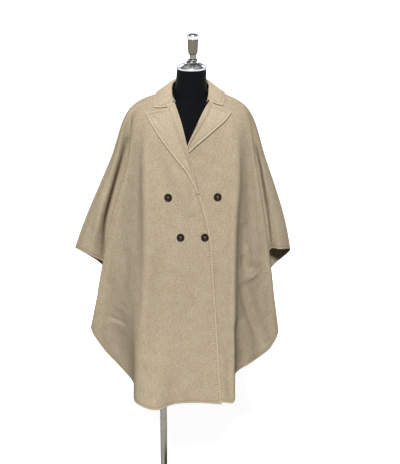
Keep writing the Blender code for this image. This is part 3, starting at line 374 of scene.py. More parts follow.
LEFT_SIDE_EDGE = (
    Crease(((0.1790, 1.4000), (0.1910, 1.3300), (0.2050, 1.2500), (0.2190, 1.1600),
            (0.2370, 1.0500), (0.2560, 0.9000), (0.2740, 0.7900)), 0.0065, 0.0040),
    Crease(((0.1620, 1.3600), (0.1700, 1.2500), (0.1800, 1.1500), (0.1900, 1.0300),
            (0.2000, 0.9000)), 0.0150, -0.0030),
)
BACK_CREASES = (
    Crease(((-0.0300, 1.2400), (-0.0420, 1.0200), (-0.0500, 0.8000), (-0.0560, 0.5600)),
           0.0230, -0.0048),
    Crease(((0.0380, 1.2000), (0.0440, 0.9800), (0.0420, 0.7600), (0.0480, 0.5400)),
           0.0200, -0.0042),
    Crease(((-0.1050, 1.1800), (-0.1160, 0.9400), (-0.1280, 0.7000), (-0.1300, 0.5600)),
           0.0200, 0.0040),
    Crease(((0.1080, 1.2200), (0.1120, 0.9800), (0.1100, 0.7200), (0.1120, 0.5400)),
           0.0190, 0.0042),
    Crease(((-0.1750, 1.1400), (-0.1980, 0.9200), (-0.2120, 0.7200)), 0.0170, -0.0042),
    Crease(((0.1650, 1.1000), (0.1800, 0.9000), (0.1900, 0.7000)), 0.0170, -0.0040),
    Crease(((-0.2250, 1.0200), (-0.2500, 0.8500), (-0.2700, 0.7000)), 0.0140, 0.0030),
    Crease(((0.2050, 1.0000), (0.2250, 0.8500), (0.2400, 0.7000)), 0.0140, 0.0028),
    Crease(((-0.2750, 1.1600), (-0.3000, 1.0500), (-0.3250, 0.9400)), 0.0120, -0.0028),
    Crease(((0.2350, 1.1500), (0.2600, 1.0300), (0.2800, 0.9200)), 0.0110, -0.0026),
    Crease(((0.1350, 0.7800), (0.1620, 0.7700), (0.1900, 0.7760)), 0.0080, -0.0020),
    Crease(((-0.1950, 0.8100), (-0.1700, 0.8010), (-0.1400, 0.8060)), 0.0090, 0.0022),
    Crease(((-0.0600, 1.3300), (-0.0100, 1.3220), (0.0500, 1.3310)), 0.0130, -0.0014),
)


# ------------------------------------------------------------- shader maths
class Wire:
    """A node's output socket, with arithmetic that adds the nodes it needs."""

    def __init__(self, shader: "Shader", socket: bpy.types.NodeSocket) -> None:
        """Wrap a socket of a shader's node tree."""
        self.shader = shader
        self.socket = socket

    def _joined(self, operation: str, *values: Any) -> "Wire":
        """Add the node for one operation on numbers, vectors or colours.

        Args:
            operation: The operation's name, as Math nodes spell it.
            values: Numbers, triples or wires, in the node's order.

        Returns:
            The result's wire.
        """
        if self.socket.type == "RGBA":
            return self.shader.node(
                "ShaderNodeMix", {"data_type": "RGBA", "blend_type": operation},
                {MIX_FACTOR: 1.0, MIX_A: values[0], MIX_B: values[1]}, MIX_RESULT)
        if self.socket.type == "VECTOR":
            return self.shader.node("ShaderNodeVectorMath", {"operation": operation},
                                    dict(enumerate(values)))
        return self.shader.node("ShaderNodeMath", {"operation": operation},
                                dict(enumerate(values)))

    def __add__(self, other: Any) -> "Wire":
        """Sum."""
        return self._joined("ADD", self, other)

    def __radd__(self, other: Any) -> "Wire":
        """Sum with this wire on the right."""
        return self._joined("ADD", other, self)

    def __sub__(self, other: Any) -> "Wire":
        """Difference."""
        return self._joined("SUBTRACT", self, other)

    def __rsub__(self, other: Any) -> "Wire":
        """Difference with this wire on the right."""
        return self._joined("SUBTRACT", other, self)

    def __mul__(self, other: Any) -> "Wire":
        """Product."""
        return self._joined("MULTIPLY", self, other)

    def __rmul__(self, other: Any) -> "Wire":
        """Product with this wire on the right."""
        return self._joined("MULTIPLY", other, self)

    def __truediv__(self, other: Any) -> "Wire":
        """Quotient."""
        return self._joined("DIVIDE", self, other)

    def __rtruediv__(self, other: Any) -> "Wire":
        """Quotient with this wire on the right."""
        return self._joined("DIVIDE", other, self)

    def __pow__(self, power: Any) -> "Wire":
        """Power of a number's wire."""
        return self._joined("POWER", self, power)

    def __neg__(self) -> "Wire":
        """Negative of a number's wire."""
        return self._joined("MULTIPLY", self, -1.0)

    def sine(self) -> "Wire":
        """Sine of a number's wire."""
        return self._joined("SINE", self)

    def ramp(self, low: float, high: float) -> "Wire":
        """Smooth rise from 0 at low to 1 at high."""
        return self.shader.node("ShaderNodeMapRange", {"interpolation_type": "SMOOTHSTEP"},
                                {"Value": self, "From Min": low, "From Max": high})

    def bell(self, middle: float, width: float) -> "Wire":
        """Soft peak of height 1 around a middle value."""
        away = (self - middle) / width
        return 1.0 / (1.0 + away * away * away * away)

    def axis(self, name: str) -> "Wire":
        """One component of a vector's wire, by its letter."""
        return self.shader.node("ShaderNodeSeparateXYZ", {}, {0: self}, name)

    def blend(self, other: Any, factor: Any) -> "Wire":
        """Mix of two colours, this one where factor is 0."""
        return self.shader.mix(self, other, factor)


MIX_FACTOR, MIX_A, MIX_B, MIX_RESULT = 0, 6, 7, 2


class Shader:
    """A material with one Principled BSDF and the nodes that feed it."""

    def __init__(self, name: str) -> None:
        """Start a new material."""
        self.material = bpy.data.materials.new(name)
        self.material.use_nodes = True
        self.tree = self.material.node_tree
        self.surface = self.tree.nodes["Principled BSDF"]

    def node(self, kind: str, settings: Optional[dict[str, Any]] = None,
             values: Optional[dict[Any, Any]] = None, output: Any = 0) -> Wire:
        """Add a node.

        Args:
            kind: The node's type.
            settings: Its properties, set before its sockets; "stops" fills a ramp.
            values: Numbers, triples or wires for its inputs, by name or index.
            output: The output to return, by name or index.

        Returns:
            The output's wire.
        """
        made = self.tree.nodes.new(kind)
        for name, value in (settings or {}).items():
            if name == "stops":
                self._fill(made.color_ramp, value)
            else:
                setattr(made, name, value)
        for name, value in (values or {}).items():
            self.feed(made.inputs[name], value)
        return Wire(self, made.outputs[output])

    @staticmethod
    def _fill(ramp: bpy.types.ColorRamp, stops: Sequence[tuple[float, Colour]]) -> None:
        """Give a ramp its stops, each a place and a colour."""
        while len(ramp.elements) < len(stops):
            ramp.elements.new(1.0)
        for element, (place, colour) in zip(ramp.elements, stops):
            element.position = place
            element.color = (*colour, 1.0)

    def feed(self, socket: bpy.types.NodeSocket, value: Any) -> None:
        """Link a wire to a socket, or set the socket's own value."""
        if isinstance(value, Wire):
            self.tree.links.new(value.socket, socket)
        elif socket.type == "RGBA" and len(value) == 3:
            socket.default_value = (*value, 1.0)
        elif socket.type == "VECTOR" and isinstance(value, (int, float)):
            socket.default_value = (value, value, value)
        else:
            socket.default_value = value

    def set(self, **values: Any) -> None:
        """Set or link the surface's sockets; an underscore stands for a space."""
        for name, value in values.items():
            self.feed(self.surface.inputs[name.replace("_", " ")], value)

    def mix(self, first: Any, second: Any, factor: Any) -> Wire:
        """Mix of two colours, the first where factor is 0."""
        return self.node("ShaderNodeMix", {"data_type": "RGBA"},
                         {MIX_FACTOR: factor, MIX_A: first, MIX_B: second}, MIX_RESULT)

    def known(self, name: str, output: str = "Vector") -> Wire:
        """What the mesh knows at each point under this name."""
        return self.node("ShaderNodeAttribute", {"attribute_name": name}, {}, output)

    def place(self) -> Wire:
        """Place in metres, in the object's own frame."""
        return self.node("ShaderNodeTexCoord", {}, {}, "Object")

    def noise(self, where: Wire, scale: float, detail: float = 2.0,
              roughness: float = 0.5) -> Wire:
        """Soft random values around one half, scale per metre."""
        return self.node("ShaderNodeTexNoise", {},
                         {"Vector": where, "Scale": scale, "Detail": detail,
                          "Roughness": roughness}, "Fac")

    def bump(self, height: Wire, strength: float = 1.0) -> None:
        """Feed the surface's normal from a height in metres."""
        self.set(Normal=self.node("ShaderNodeBump", {},
                                  {"Height": height, "Distance": 1.0,
                                   "Strength": strength}, "Normal"))


# ------------------------------------------------------------------ finishes
@dataclass(frozen=True)
class Wool:
    """Brushed double-faced wool: melange yarns, a faint twill and a raised nap."""

    light: Colour = (0.520, 0.440, 0.318)
    dark: Colour = (0.285, 0.222, 0.140)
    cool: Colour = (0.430, 0.375, 0.300)
    # How much the last millimetres by each free edge are lightened: a painted highlight along
    # the edge.
    edge_highlight: float = 0.45
    nap: float = 0.00022
    twill_pitch: float = 0.0021
    groove_place: float = 0.0085
    groove_depth: float = 0.0003

    def dress(self, name: str) -> bpy.types.Material:
        """Make this finish for one piece.

        Args:
            name: The material's name.

        Returns:
            The material.
        """
        shader = Shader(name)
        cloth = shader.known("cloth")
        edge = shader.known("edge", "Fac")
        mottle = shader.noise(cloth, 235.0, 3.0, 0.65)
        fleck = shader.noise(cloth, 380.0, 3.0, 0.65)
        warp = shader.noise(cloth * (1.0, 0.12, 1.0), 300.0, 2.0, 0.6)
        weft = shader.noise(cloth * (0.16, 1.0, 1.0), 420.0, 2.0, 0.6)
        cloud = shader.noise(cloth, 26.0, 3.0, 0.55)
        patch = shader.noise(cloth, 8.0, 2.0, 0.5)
        fibre = shader.noise(cloth * (1.0, 0.35, 1.0), 1500.0, 2.0, 0.7)
        tone = (0.5 + (mottle - 0.5) * 1.7 + (fleck - 0.5) * 1.6 + (warp - 0.5) * 0.8
                + (weft - 0.5) * 0.6 + (cloud - 0.5) * 0.3 + (patch - 0.5) * 0.25
                + (fibre - 0.5) * 0.5)
        # groove: a soft line 8.5 mm in from each free edge; the bump sinks it, and the colour
        # there is darkened as painted shade.
        groove_and_shade = edge.bell(self.groove_place, 0.0019)
        # rim: the last few millimetres by each free edge, lightened in colour as a painted
        # highlight.
        rim = 1.0 - edge.ramp(0.0014, 0.0060)
        colour = shader.mix(self.dark, self.light, tone)
        colour = colour.blend(self.cool, cloud.ramp(0.5, 0.75) * 0.22)
        colour = colour.blend(tuple(c * 1.22 for c in self.light), rim * self.edge_highlight)
        colour = colour.blend(self.dark, groove_and_shade * 0.55)
        twill = ((cloth.axis("X") + cloth.axis("Y")) * (2 * math.pi / self.twill_pitch)).sine()
        height = (mottle * self.nap * 1.6 + fleck * self.nap * 1.6 + warp * self.nap
                  + fibre * self.nap * 0.7 + twill * self.nap * 0.12
                  - groove_and_shade * self.groove_depth)
        shader.set(Base_Color=colour, Roughness=0.88 + (fibre - 0.5) * 0.12)
        shader.set(Sheen_Weight=0.03, Sheen_Roughness=0.5,
                   Sheen_Tint=(1.0, 0.90, 0.74), Specular_IOR_Level=0.12)
        shader.bump(height, 0.9)
        return shader.material


@dataclass(frozen=True)
class Jersey:
    """Fine black knit drawn over the torso."""

    colour: Colour = (0.0010, 0.0013, 0.0016)
    worn: Colour = (0.0045, 0.0060, 0.0072)
    rib_pitch: float = 0.0016

    def dress(self, name: str) -> bpy.types.Material:
        """Make this finish for one piece and return the material."""
        shader = Shader(name)
        place = shader.place()
        lint = shader.noise(place, 900.0, 3.0, 0.6)
        cloud = shader.noise(place, 14.0, 2.0)
        rib = (place.axis("X") * (2 * math.pi / self.rib_pitch)).sine()
        course = (place.axis("Z") * (2 * math.pi / self.rib_pitch / 0.7)).sine()
        tone = lint.ramp(0.45, 0.8) * 0.35 + cloud.ramp(0.35, 0.75) * 0.5
        shader.set(Base_Color=shader.mix(self.colour, self.worn, tone),
                   Roughness=0.72 + lint * 0.14)
        shader.set(Sheen_Weight=0.01, Sheen_Roughness=0.5, Specular_IOR_Level=0.08)
        shader.bump(rib * 0.00006 + course * 0.00004 + lint * 0.00008, 0.6)
        return shader.material


class Polish(Enum):
    """How a metal's face was finished."""

    MIRROR = "mirror"
    SATIN = "satin"
    BRUSHED = "brushed"


@dataclass(frozen=True)
class Metal:
    """Plated or bare metal with its grain, smudges and fine dust."""

    colour: Colour
    polish: Polish
    roughness: float
    grain: Point = (1.0, 1.0, 1.0)   # stretches the grain along an axis
    wear: Colour = (0.22, 0.20, 0.18)
    wear_share: float = 0.25
    rim_tint: Colour = (0.12, 0.13, 0.14)

    def dress(self, name: str) -> bpy.types.Material:
        """Make this finish for one piece and return the material."""
        shader = Shader(name)
        place = shader.place()
        scratch = shader.noise(place * self.grain, 700.0, 3.0, 0.6)
        smudge = shader.noise(place, 60.0, 4.0, 0.6)
        depth = {Polish.MIRROR: 0.000004, Polish.SATIN: 0.00003, Polish.BRUSHED: 0.00006}
        spread = {Polish.MIRROR: 0.05, Polish.SATIN: 0.16, Polish.BRUSHED: 0.22}
        shader.set(Metallic=1.0, Specular_Tint=self.rim_tint)
        shader.set(Base_Color=shader.mix(self.colour, self.wear,
                                         smudge.ramp(0.45, 0.8) * self.wear_share),
                   Roughness=self.roughness + (scratch - 0.5) * spread[self.polish]
                   + smudge.ramp(0.5, 0.8) * 0.08)
        shader.bump(scratch * depth[self.polish], 0.8)
        return shader.material


@dataclass(frozen=True)
class Horn:
    """Polished dark horn with paler streaks that run across the button."""

    dark: Colour = (0.0030, 0.0015, 0.0010)
    pale: Colour = (0.040, 0.019, 0.009)

    def dress(self, name: str) -> bpy.types.Material:
        """Make this finish for one button and return the material."""
        shader = Shader(name)
        cloth = shader.known("cloth")
        streak = shader.noise(cloth * (1.0, 0.3, 1.0), 260.0, 4.0, 0.6)
        # The middle of the button is painted paler: a painted highlight in its dish.
        dish_highlight = 1.0 - shader.known("edge", "Fac").ramp(0.0045, 0.0090)
        tone = streak.ramp(0.40, 0.72) * 0.55 + dish_highlight * 0.30
        shader.set(Base_Color=shader.mix(self.dark, self.pale, tone),
                   Roughness=0.30 + streak * 0.12)
        shader.set(Coat_Roughness=0.12, Specular_IOR_Level=0.10)
        shader.set(Coat_Weight=0.02 + streak * 0.04)
        shader.bump(streak * 0.00008, 0.5)
        return shader.material


@dataclass(frozen=True)
class Thread:
    """Twisted sewing thread."""

    colour: Colour = (0.46, 0.375, 0.255)
    shade: Colour = (0.25, 0.19, 0.12)

    def dress(self, name: str) -> bpy.types.Material:
        """Make this finish for one piece and return the material."""
        shader = Shader(name)
        cloth = shader.known("cloth")
        ply = ((cloth.axis("X") * 9000.0 + cloth.axis("Y") * 4200.0)).sine() * 0.5 + 0.5
        fuzz = shader.noise(cloth, 2400.0, 2.0)
        shader.set(Base_Color=shader.mix(self.shade, self.colour, ply * 0.5 + fuzz * 0.7),
                   Roughness=0.75 + fuzz * 0.2)
        shader.set(Sheen_Weight=0.2, Specular_IOR_Level=0.25)
        shader.bump(ply * 0.00005 + fuzz * 0.00004, 0.7)
        return shader.material


@dataclass(frozen=True)
class Painted:
    """Pale matt floor."""

    colour: Colour = (0.86, 0.86, 0.86)
    glow: float = 0.55

    def dress(self, name: str) -> bpy.types.Material:
        """Make this finish for the floor and return the material."""
        shader = Shader(name)
        grain = shader.noise(shader.place(), 3.0, 2.0)
        darker = tuple(c * 0.985 for c in self.colour)
        shader.set(Base_Color=shader.mix(darker, self.colour, grain), Roughness=0.9)
        shader.set(Specular_IOR_Level=0.1, Emission_Color=self.colour,
                   Emission_Strength=self.glow)
        return shader.material


# ---------------------------------------------------------------- mathematics
def smooth(marks: Sequence[float], values: Any, at: Any) -> np.ndarray:
    """Even cubic curve through marked values, read at new marks.

    Args:
        marks: Rising marks of the values.
        values: One row of numbers for each mark.
        at: The marks to read.

    Returns:
        One row for each mark that is read.
    """
    marks = np.asarray(marks, float)
    values = np.asarray(values, float)
    at = np.asarray(at, float)
    chord = np.linalg.norm(np.diff(values, axis=0), axis=1)
    step = np.sqrt(np.maximum(chord, 1e-6))[:, None]
    slope = np.diff(values, axis=0) / step
    tangent = np.empty_like(values)
    tangent[1:-1] = (slope[:-1] * step[1:] + slope[1:] * step[:-1]) / (step[1:] + step[:-1])
    tangent[0] = 1.5 * slope[0] - 0.5 * tangent[1]
    tangent[-1] = 1.5 * slope[-1] - 0.5 * tangent[-2]
    left = np.clip(np.searchsorted(marks, at, side="right") - 1, 0, len(marks) - 2)
    width = step[left]
    u = ((at - marks[left]) / (marks[left + 1] - marks[left]))[:, None]
    return ((2 * u**3 - 3 * u**2 + 1) * values[left]
            + (u**3 - 2 * u**2 + u) * width * tangent[left]
            + (3 * u**2 - 2 * u**3) * values[left + 1]
            + (u**3 - u**2) * width * tangent[left + 1])


def unit(vectors: np.ndarray) -> np.ndarray:
    """Vectors scaled to length one."""
    size = np.linalg.norm(vectors, axis=-1, keepdims=True)
    return vectors / np.maximum(size, 1e-12)


def spaced(knots: Sequence[float], steps: Sequence[int]) -> np.ndarray:
    """Each knot and the places between it and the next."""
    runs = [np.linspace(a, b, n, endpoint=False)
            for a, b, n in zip(knots[:-1], knots[1:], steps)]
    return np.concatenate(runs + [np.array(knots[-1:], float)])


def run_of(points: np.ndarray) -> np.ndarray:
    """Length along a line of points, at each point."""
    return np.concatenate([[0.0], np.cumsum(np.linalg.norm(np.diff(points, axis=0), axis=1))])


def tree_of(piece: bpy.types.Object) -> BVHTree:
    """Search tree over an object's faces."""
    vertices = [vertex.co.copy() for vertex in piece.data.vertices]
    return BVHTree.FromPolygons(vertices, [tuple(f.vertices) for f in piece.data.polygons])


def whole_cells(grid: np.ndarray) -> np.ndarray:
    """Which cells of a grid have all four of their corners."""
    there = ~np.isnan(grid[..., 0])
    return there[:-1, :-1] & there[1:, :-1] & there[1:, 1:] & there[:-1, 1:]


def grid_tree(grid: np.ndarray) -> BVHTree:
    """Search tree over a grid's whole cells."""
    number = np.arange(grid[..., 0].size).reshape(grid.shape[:2])
    quads = np.stack([number[:-1, :-1], number[1:, :-1], number[1:, 1:],
                      number[:-1, 1:]], axis=-1)[whole_cells(grid)]
    points = np.nan_to_num(grid.reshape(-1, 3))
    return BVHTree.FromPolygons([Vector(p) for p in points], quads.tolist())


def grid_normals(grid: np.ndarray) -> np.ndarray:
    """Outward unit normals of a grid's points."""
    normal = unit(np.cross(grid[1:, 1:] - grid[:-1, :-1], grid[:-1, 1:] - grid[1:, :-1]))
    normal[~whole_cells(grid)] = 0.0
    total = np.zeros_like(grid)
    for block in (np.s_[:-1, :-1], np.s_[1:, :-1], np.s_[1:, 1:], np.s_[:-1, 1:]):
        total[block] += normal
    return unit(total)


def lift_clear(grid: np.ndarray, trees: Sequence[BVHTree], gap: float,
               wall: float = WALL) -> None:
    """Move points out until a wall's inner face clears the given surfaces.

    Args:
        grid: The outer face's points, which are moved.
        trees: The surfaces under it.
        gap: The least distance from them.
        wall: The wall's thickness.
    """
    normals = grid_normals(grid)
    inner = grid - normals * wall
    for index in np.argwhere(~np.isnan(grid[..., 0])):
        point = Vector(inner[tuple(index)])
        for tree in trees:
            place, normal, _, _ = tree.find_nearest(point, REACH_LIMIT * 2)
            if place is None:
                continue
            away = point - place
            depth = away.dot(normal)
            aside = (away - normal * depth).length
            if -REACH_LIMIT < depth < gap and aside < EDGE_LIMIT:
                grid[tuple(index)] += np.array(normal) * (gap - depth)
                point = point + normal * (gap - depth)


def tube_faces(rings: int, sides: int, base: int = 0) -> list[tuple[int, ...]]:
    """Faces of a closed tube of points.

    Args:
        rings: How many rings of points it has.
        sides: How many points each ring has.
        base: The number of its first point.

    Returns:
        The faces round it, then the first ring's and the last ring's.
    """
    faces = []
    for k in range(rings - 1):
        for s in range(sides):
            a, b = base + k * sides + s, base + k * sides + (s + 1) % sides
            faces.append((a, b, b + sides, a + sides))
    faces.append(tuple(base + s for s in reversed(range(sides))))
    faces.append(tuple(base + (rings - 1) * sides + s for s in range(sides)))
    return faces


def placed(name: str, data: bpy.types.ID) -> bpy.types.Object:
    """A new object in the scene."""
    made = bpy.data.objects.new(name, data)
    bpy.context.scene.collection.objects.link(made)
    return made


def link(name: str, mesh: bpy.types.Mesh, material: bpy.types.Material) -> bpy.types.Object:
    """Put a new mesh into the scene with its finish, riding on the body."""
    mesh.materials.append(material)
    piece = placed(name, mesh)
    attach(piece, BODY)
    return piece


def mesh_of(name: str, vertices: np.ndarray, faces: Sequence[Sequence[int]],
            cloth: Optional[np.ndarray] = None, edge: Optional[np.ndarray] = None,
            sharp: float = 180.0) -> bpy.types.Mesh:
    """A smooth mesh that knows its cloth places and edge distances.

    Args:
        name: The mesh's name.
        vertices: Its points.
        faces: Its faces, as point numbers.
        cloth: Places across and down the cloth, in metres.
        edge: Distance of each point from the nearest free edge.
        sharp: Edges that turn by more degrees than this stay sharp.

    Returns:
        The mesh.
    """
    mesh = bpy.data.meshes.new(name)
    mesh.from_pydata(np.asarray(vertices, float).tolist(), [], [list(f) for f in faces])
    mesh.shade_smooth()
    if sharp < 180.0:
        mesh.set_sharp_from_angle(angle=math.radians(sharp))
    count = len(mesh.vertices)
    cloth = np.zeros((count, 2)) if cloth is None else cloth
    edge = np.full(count, FAR_FROM_EDGE) if edge is None else edge
    flat = np.zeros((count, 3), np.float32)
    flat[:, :2] = cloth
    mesh.attributes.new("cloth", "FLOAT_VECTOR", "POINT").data.foreach_set("vector",
                                                                         flat.ravel())
    mesh.attributes.new("edge", "FLOAT", "POINT").data.foreach_set(
        "value", np.asarray(edge, np.float32))
    return mesh


# ---------------------------------------------------------------- cloth walls
@dataclass
class Panel:
    """A sewn piece of cloth, as a fine grid of its outer face."""

    name: str
    grid: np.ndarray                       # columns x rows x 3
    sewn: list[tuple[int, int, int]] = field(default_factory=list)
    rolled: Optional[tuple[int, float, float]] = None
    rim_steps: int = 5

    def settle(self, creases: Sequence[Crease], first: int = 0,
               last: Optional[int] = None) -> None:
        """Press the creases into the panel.

        Args:
            creases: Lines seen from the front, with their widths and depths.
            first: The first column that they reach.
            last: The column after the last one that they reach.
        """
        flat = self.grid.reshape(-1, 3)
        there = ~np.isnan(flat[:, 0])
        push = np.zeros(len(flat))
        for crease in creases:
            push[there] += self._press(flat[there][:, [0, 2]], crease)
        push = push.reshape(*self.grid.shape[:2], 1)
        reached = np.zeros_like(push)
        reached[first:last] = 1.0
        self.grid += grid_normals(self.grid) * push * reached

    @staticmethod
    def _press(places: np.ndarray, crease: Crease) -> np.ndarray:
        """Depth of one crease at each place.

        Args:
            places: Places across and up.
            crease: The crease.

        Returns:
            How far out each place moves.
        """
        path = np.array(crease.path)
        marks = run_of(path)
        path = smooth(marks, path, np.linspace(0.0, marks[-1], 8 * len(path)))
        marks = run_of(path)
        best = np.full(len(places), np.inf)
        along = np.zeros(len(places))
        for start, end, mark in zip(path[:-1], path[1:], marks):
            way = end - start
            length = max(np.linalg.norm(way), 1e-9)
            share = np.clip((places - start) @ way / length**2, 0.0, 1.0)
            far = np.linalg.norm(places - start - share[:, None] * way, axis=1)
            nearer = far < best
            best[nearer] = far[nearer]
            along[nearer] = (mark + share * length)[nearer]
        fade = np.sin(np.clip(along / marks[-1], 0.0, 1.0) * math.pi) ** 0.6
        return crease.depth * np.exp(-(best / crease.width) ** 2) * fade

    def cells(self) -> tuple[np.ndarray, np.ndarray]:
        """The grid's quads as flat point numbers, and the points they use."""
        number = np.arange(self.grid[..., 0].size).reshape(self.grid.shape[:2])
        quads = np.stack([number[:-1, :-1], number[1:, :-1], number[1:, 1:],
                          number[:-1, 1:]], axis=-1)[whole_cells(self.grid)]
        return quads, np.unique(quads)

    def border(self) -> np.ndarray:
        """Flat point numbers round the panel, with the cloth on the left."""
        quads, _ = self.cells()
        size = self.grid[..., 0].size
        starts, ends = quads.ravel(), np.roll(quads, -1, axis=1).ravel()
        lone = ~np.isin(starts * size + ends, ends * size + starts)
        after = dict(zip(starts[lone].tolist(), ends[lone].tolist()))
        first = min(after)
        loop = [first]
        while after[loop[-1]] != first:
            loop.append(after[loop[-1]])
        return np.array(loop)

    def free_border(self) -> list[np.ndarray]:
        """Runs of the border that aren't sewn to another panel."""
        rows = self.grid.shape[1]
        loop = self.border()
        column, row = loop // rows, loop % rows
        sewn = np.zeros(len(loop), bool)
        for seam, low, high in self.sewn:
            sewn |= (column == seam) & (row >= low) & (row <= high)
        if sewn.all() or not sewn.any():
            return [] if sewn.all() else [np.append(loop, loop[0])]
        start = int(np.argmax(sewn))
        loop, sewn = np.roll(loop, -start), np.roll(sewn, -start)
        runs, current = [], []
        for point, held in zip(loop, sewn):
            if not held:
                current.append(point)
            elif current:
                runs.append(np.array(current))
                current = []
        return runs + ([np.array(current)] if current else [])

    def lengths(self) -> np.ndarray:
        """Places across and down the cloth, in metres, for every point."""
        grid = np.nan_to_num(self.grid, nan=0.0)
        there = ~np.isnan(self.grid[..., 0])
        across = np.linalg.norm(np.diff(grid, axis=0), axis=-1) * (there[1:] & there[:-1])
        down = np.linalg.norm(np.diff(grid, axis=1), axis=-1) * (there[:, 1:] & there[:, :-1])
        u = np.concatenate([np.zeros((1, grid.shape[1])), np.cumsum(across, axis=0)])
        v = np.concatenate([np.zeros((grid.shape[0], 1)), np.cumsum(down, axis=1)], axis=1)
        u -= u[grid.shape[0] // 2]
        return np.stack([u, v], axis=-1).reshape(-1, 2)

    def edge_distances(self) -> np.ndarray:
        """Distance of every point from the nearest free edge."""
        flat = self.grid.reshape(-1, 3)
        result = np.full(len(flat), FAR_FROM_EDGE)
        for run in self.free_border():
            line = flat[run]
            marks = run_of(line)
            fine = np.linspace(0.0, marks[-1], max(2, int(marks[-1] / EDGE_PITCH)))
            dense = np.stack([np.interp(fine, marks, line[:, k]) for k in range(3)], axis=1)
            finder = KDTree(len(dense))
            for index, point in enumerate(dense):
                finder.insert(point, index)
            finder.balance()
            for index in np.flatnonzero(~np.isnan(flat[:, 0])):
                result[index] = min(result[index], finder.find(flat[index])[2])
        return result

    def solid(self, finish: Wool, wall: float = WALL) -> bpy.types.Object:
        """The panel as a thin closed wall with rounded edges.

        Args:
            finish: The cloth's finish.
            wall: The wall's thickness.

        Returns:
            The piece.
        """
        quads, used = self.cells()
        loop = self.border()
        rows = self.grid.shape[1]
        normals = grid_normals(self.grid).reshape(-1, 3)
        points = self.grid.reshape(-1, 3).copy()
        cloth, edge = self.lengths(), self.edge_distances()
        bulge, depth = self._rims(loop, rows, wall)
        run = unit(np.roll(points[loop], -1, axis=0) - np.roll(points[loop], 1, axis=0))
        outward = unit(np.cross(run, normals[loop]))
        points[loop] -= outward * bulge[:, None]
        count = len(used)
        number = np.full(len(points), -1)
        number[used] = np.arange(count)
        outer = points[used]
        vertices = [outer, outer - normals[used] * wall]
        rim = []
        for step in range(1, self.rim_steps + 1):
            turn = math.pi * step / (self.rim_steps + 1)
            vertices.append(points[loop] + outward * (bulge * math.sin(turn))[:, None]
                            - normals[loop] * (depth / 2 * (1 - math.cos(turn)))[:, None])
            rim.append(2 * count + (step - 1) * len(loop) + np.arange(len(loop)))
        ladder = [number[loop], *rim, number[loop] + count]
        faces = number[quads].tolist()
        faces += (number[quads][:, ::-1] + count).tolist()
        for upper, lower in zip(ladder[:-1], ladder[1:]):
            faces += np.stack([np.roll(upper, -1), upper, lower, np.roll(lower, -1)],
                              axis=1).tolist()
        ring = np.tile(loop, self.rim_steps)
        known = np.concatenate([used, used, ring])
        mesh = mesh_of(self.name, np.concatenate(vertices), faces, cloth[known], edge[known])
        return link(self.name, mesh, finish.dress(self.name))

    def _rims(self, loop: np.ndarray, rows: int, wall: float) -> tuple[np.ndarray, np.ndarray]:
        """How far the rounded edge stands out and how deep it is, round the border."""
        column = loop // rows
        bulge = np.full(len(loop), wall * 0.48)
        depth = np.full(len(loop), wall)
        if self.rolled:
            rolled, more, deep = self.rolled
            width = np.linalg.norm(self.grid[0] - self.grid[-1], axis=-1)
            share = np.clip(width / 0.012, 0.0, 1.0)[loop % rows]
            here = column == rolled
            bulge[here] += more * share[here]
            depth[here] += deep * share[here]
        return bulge, depth


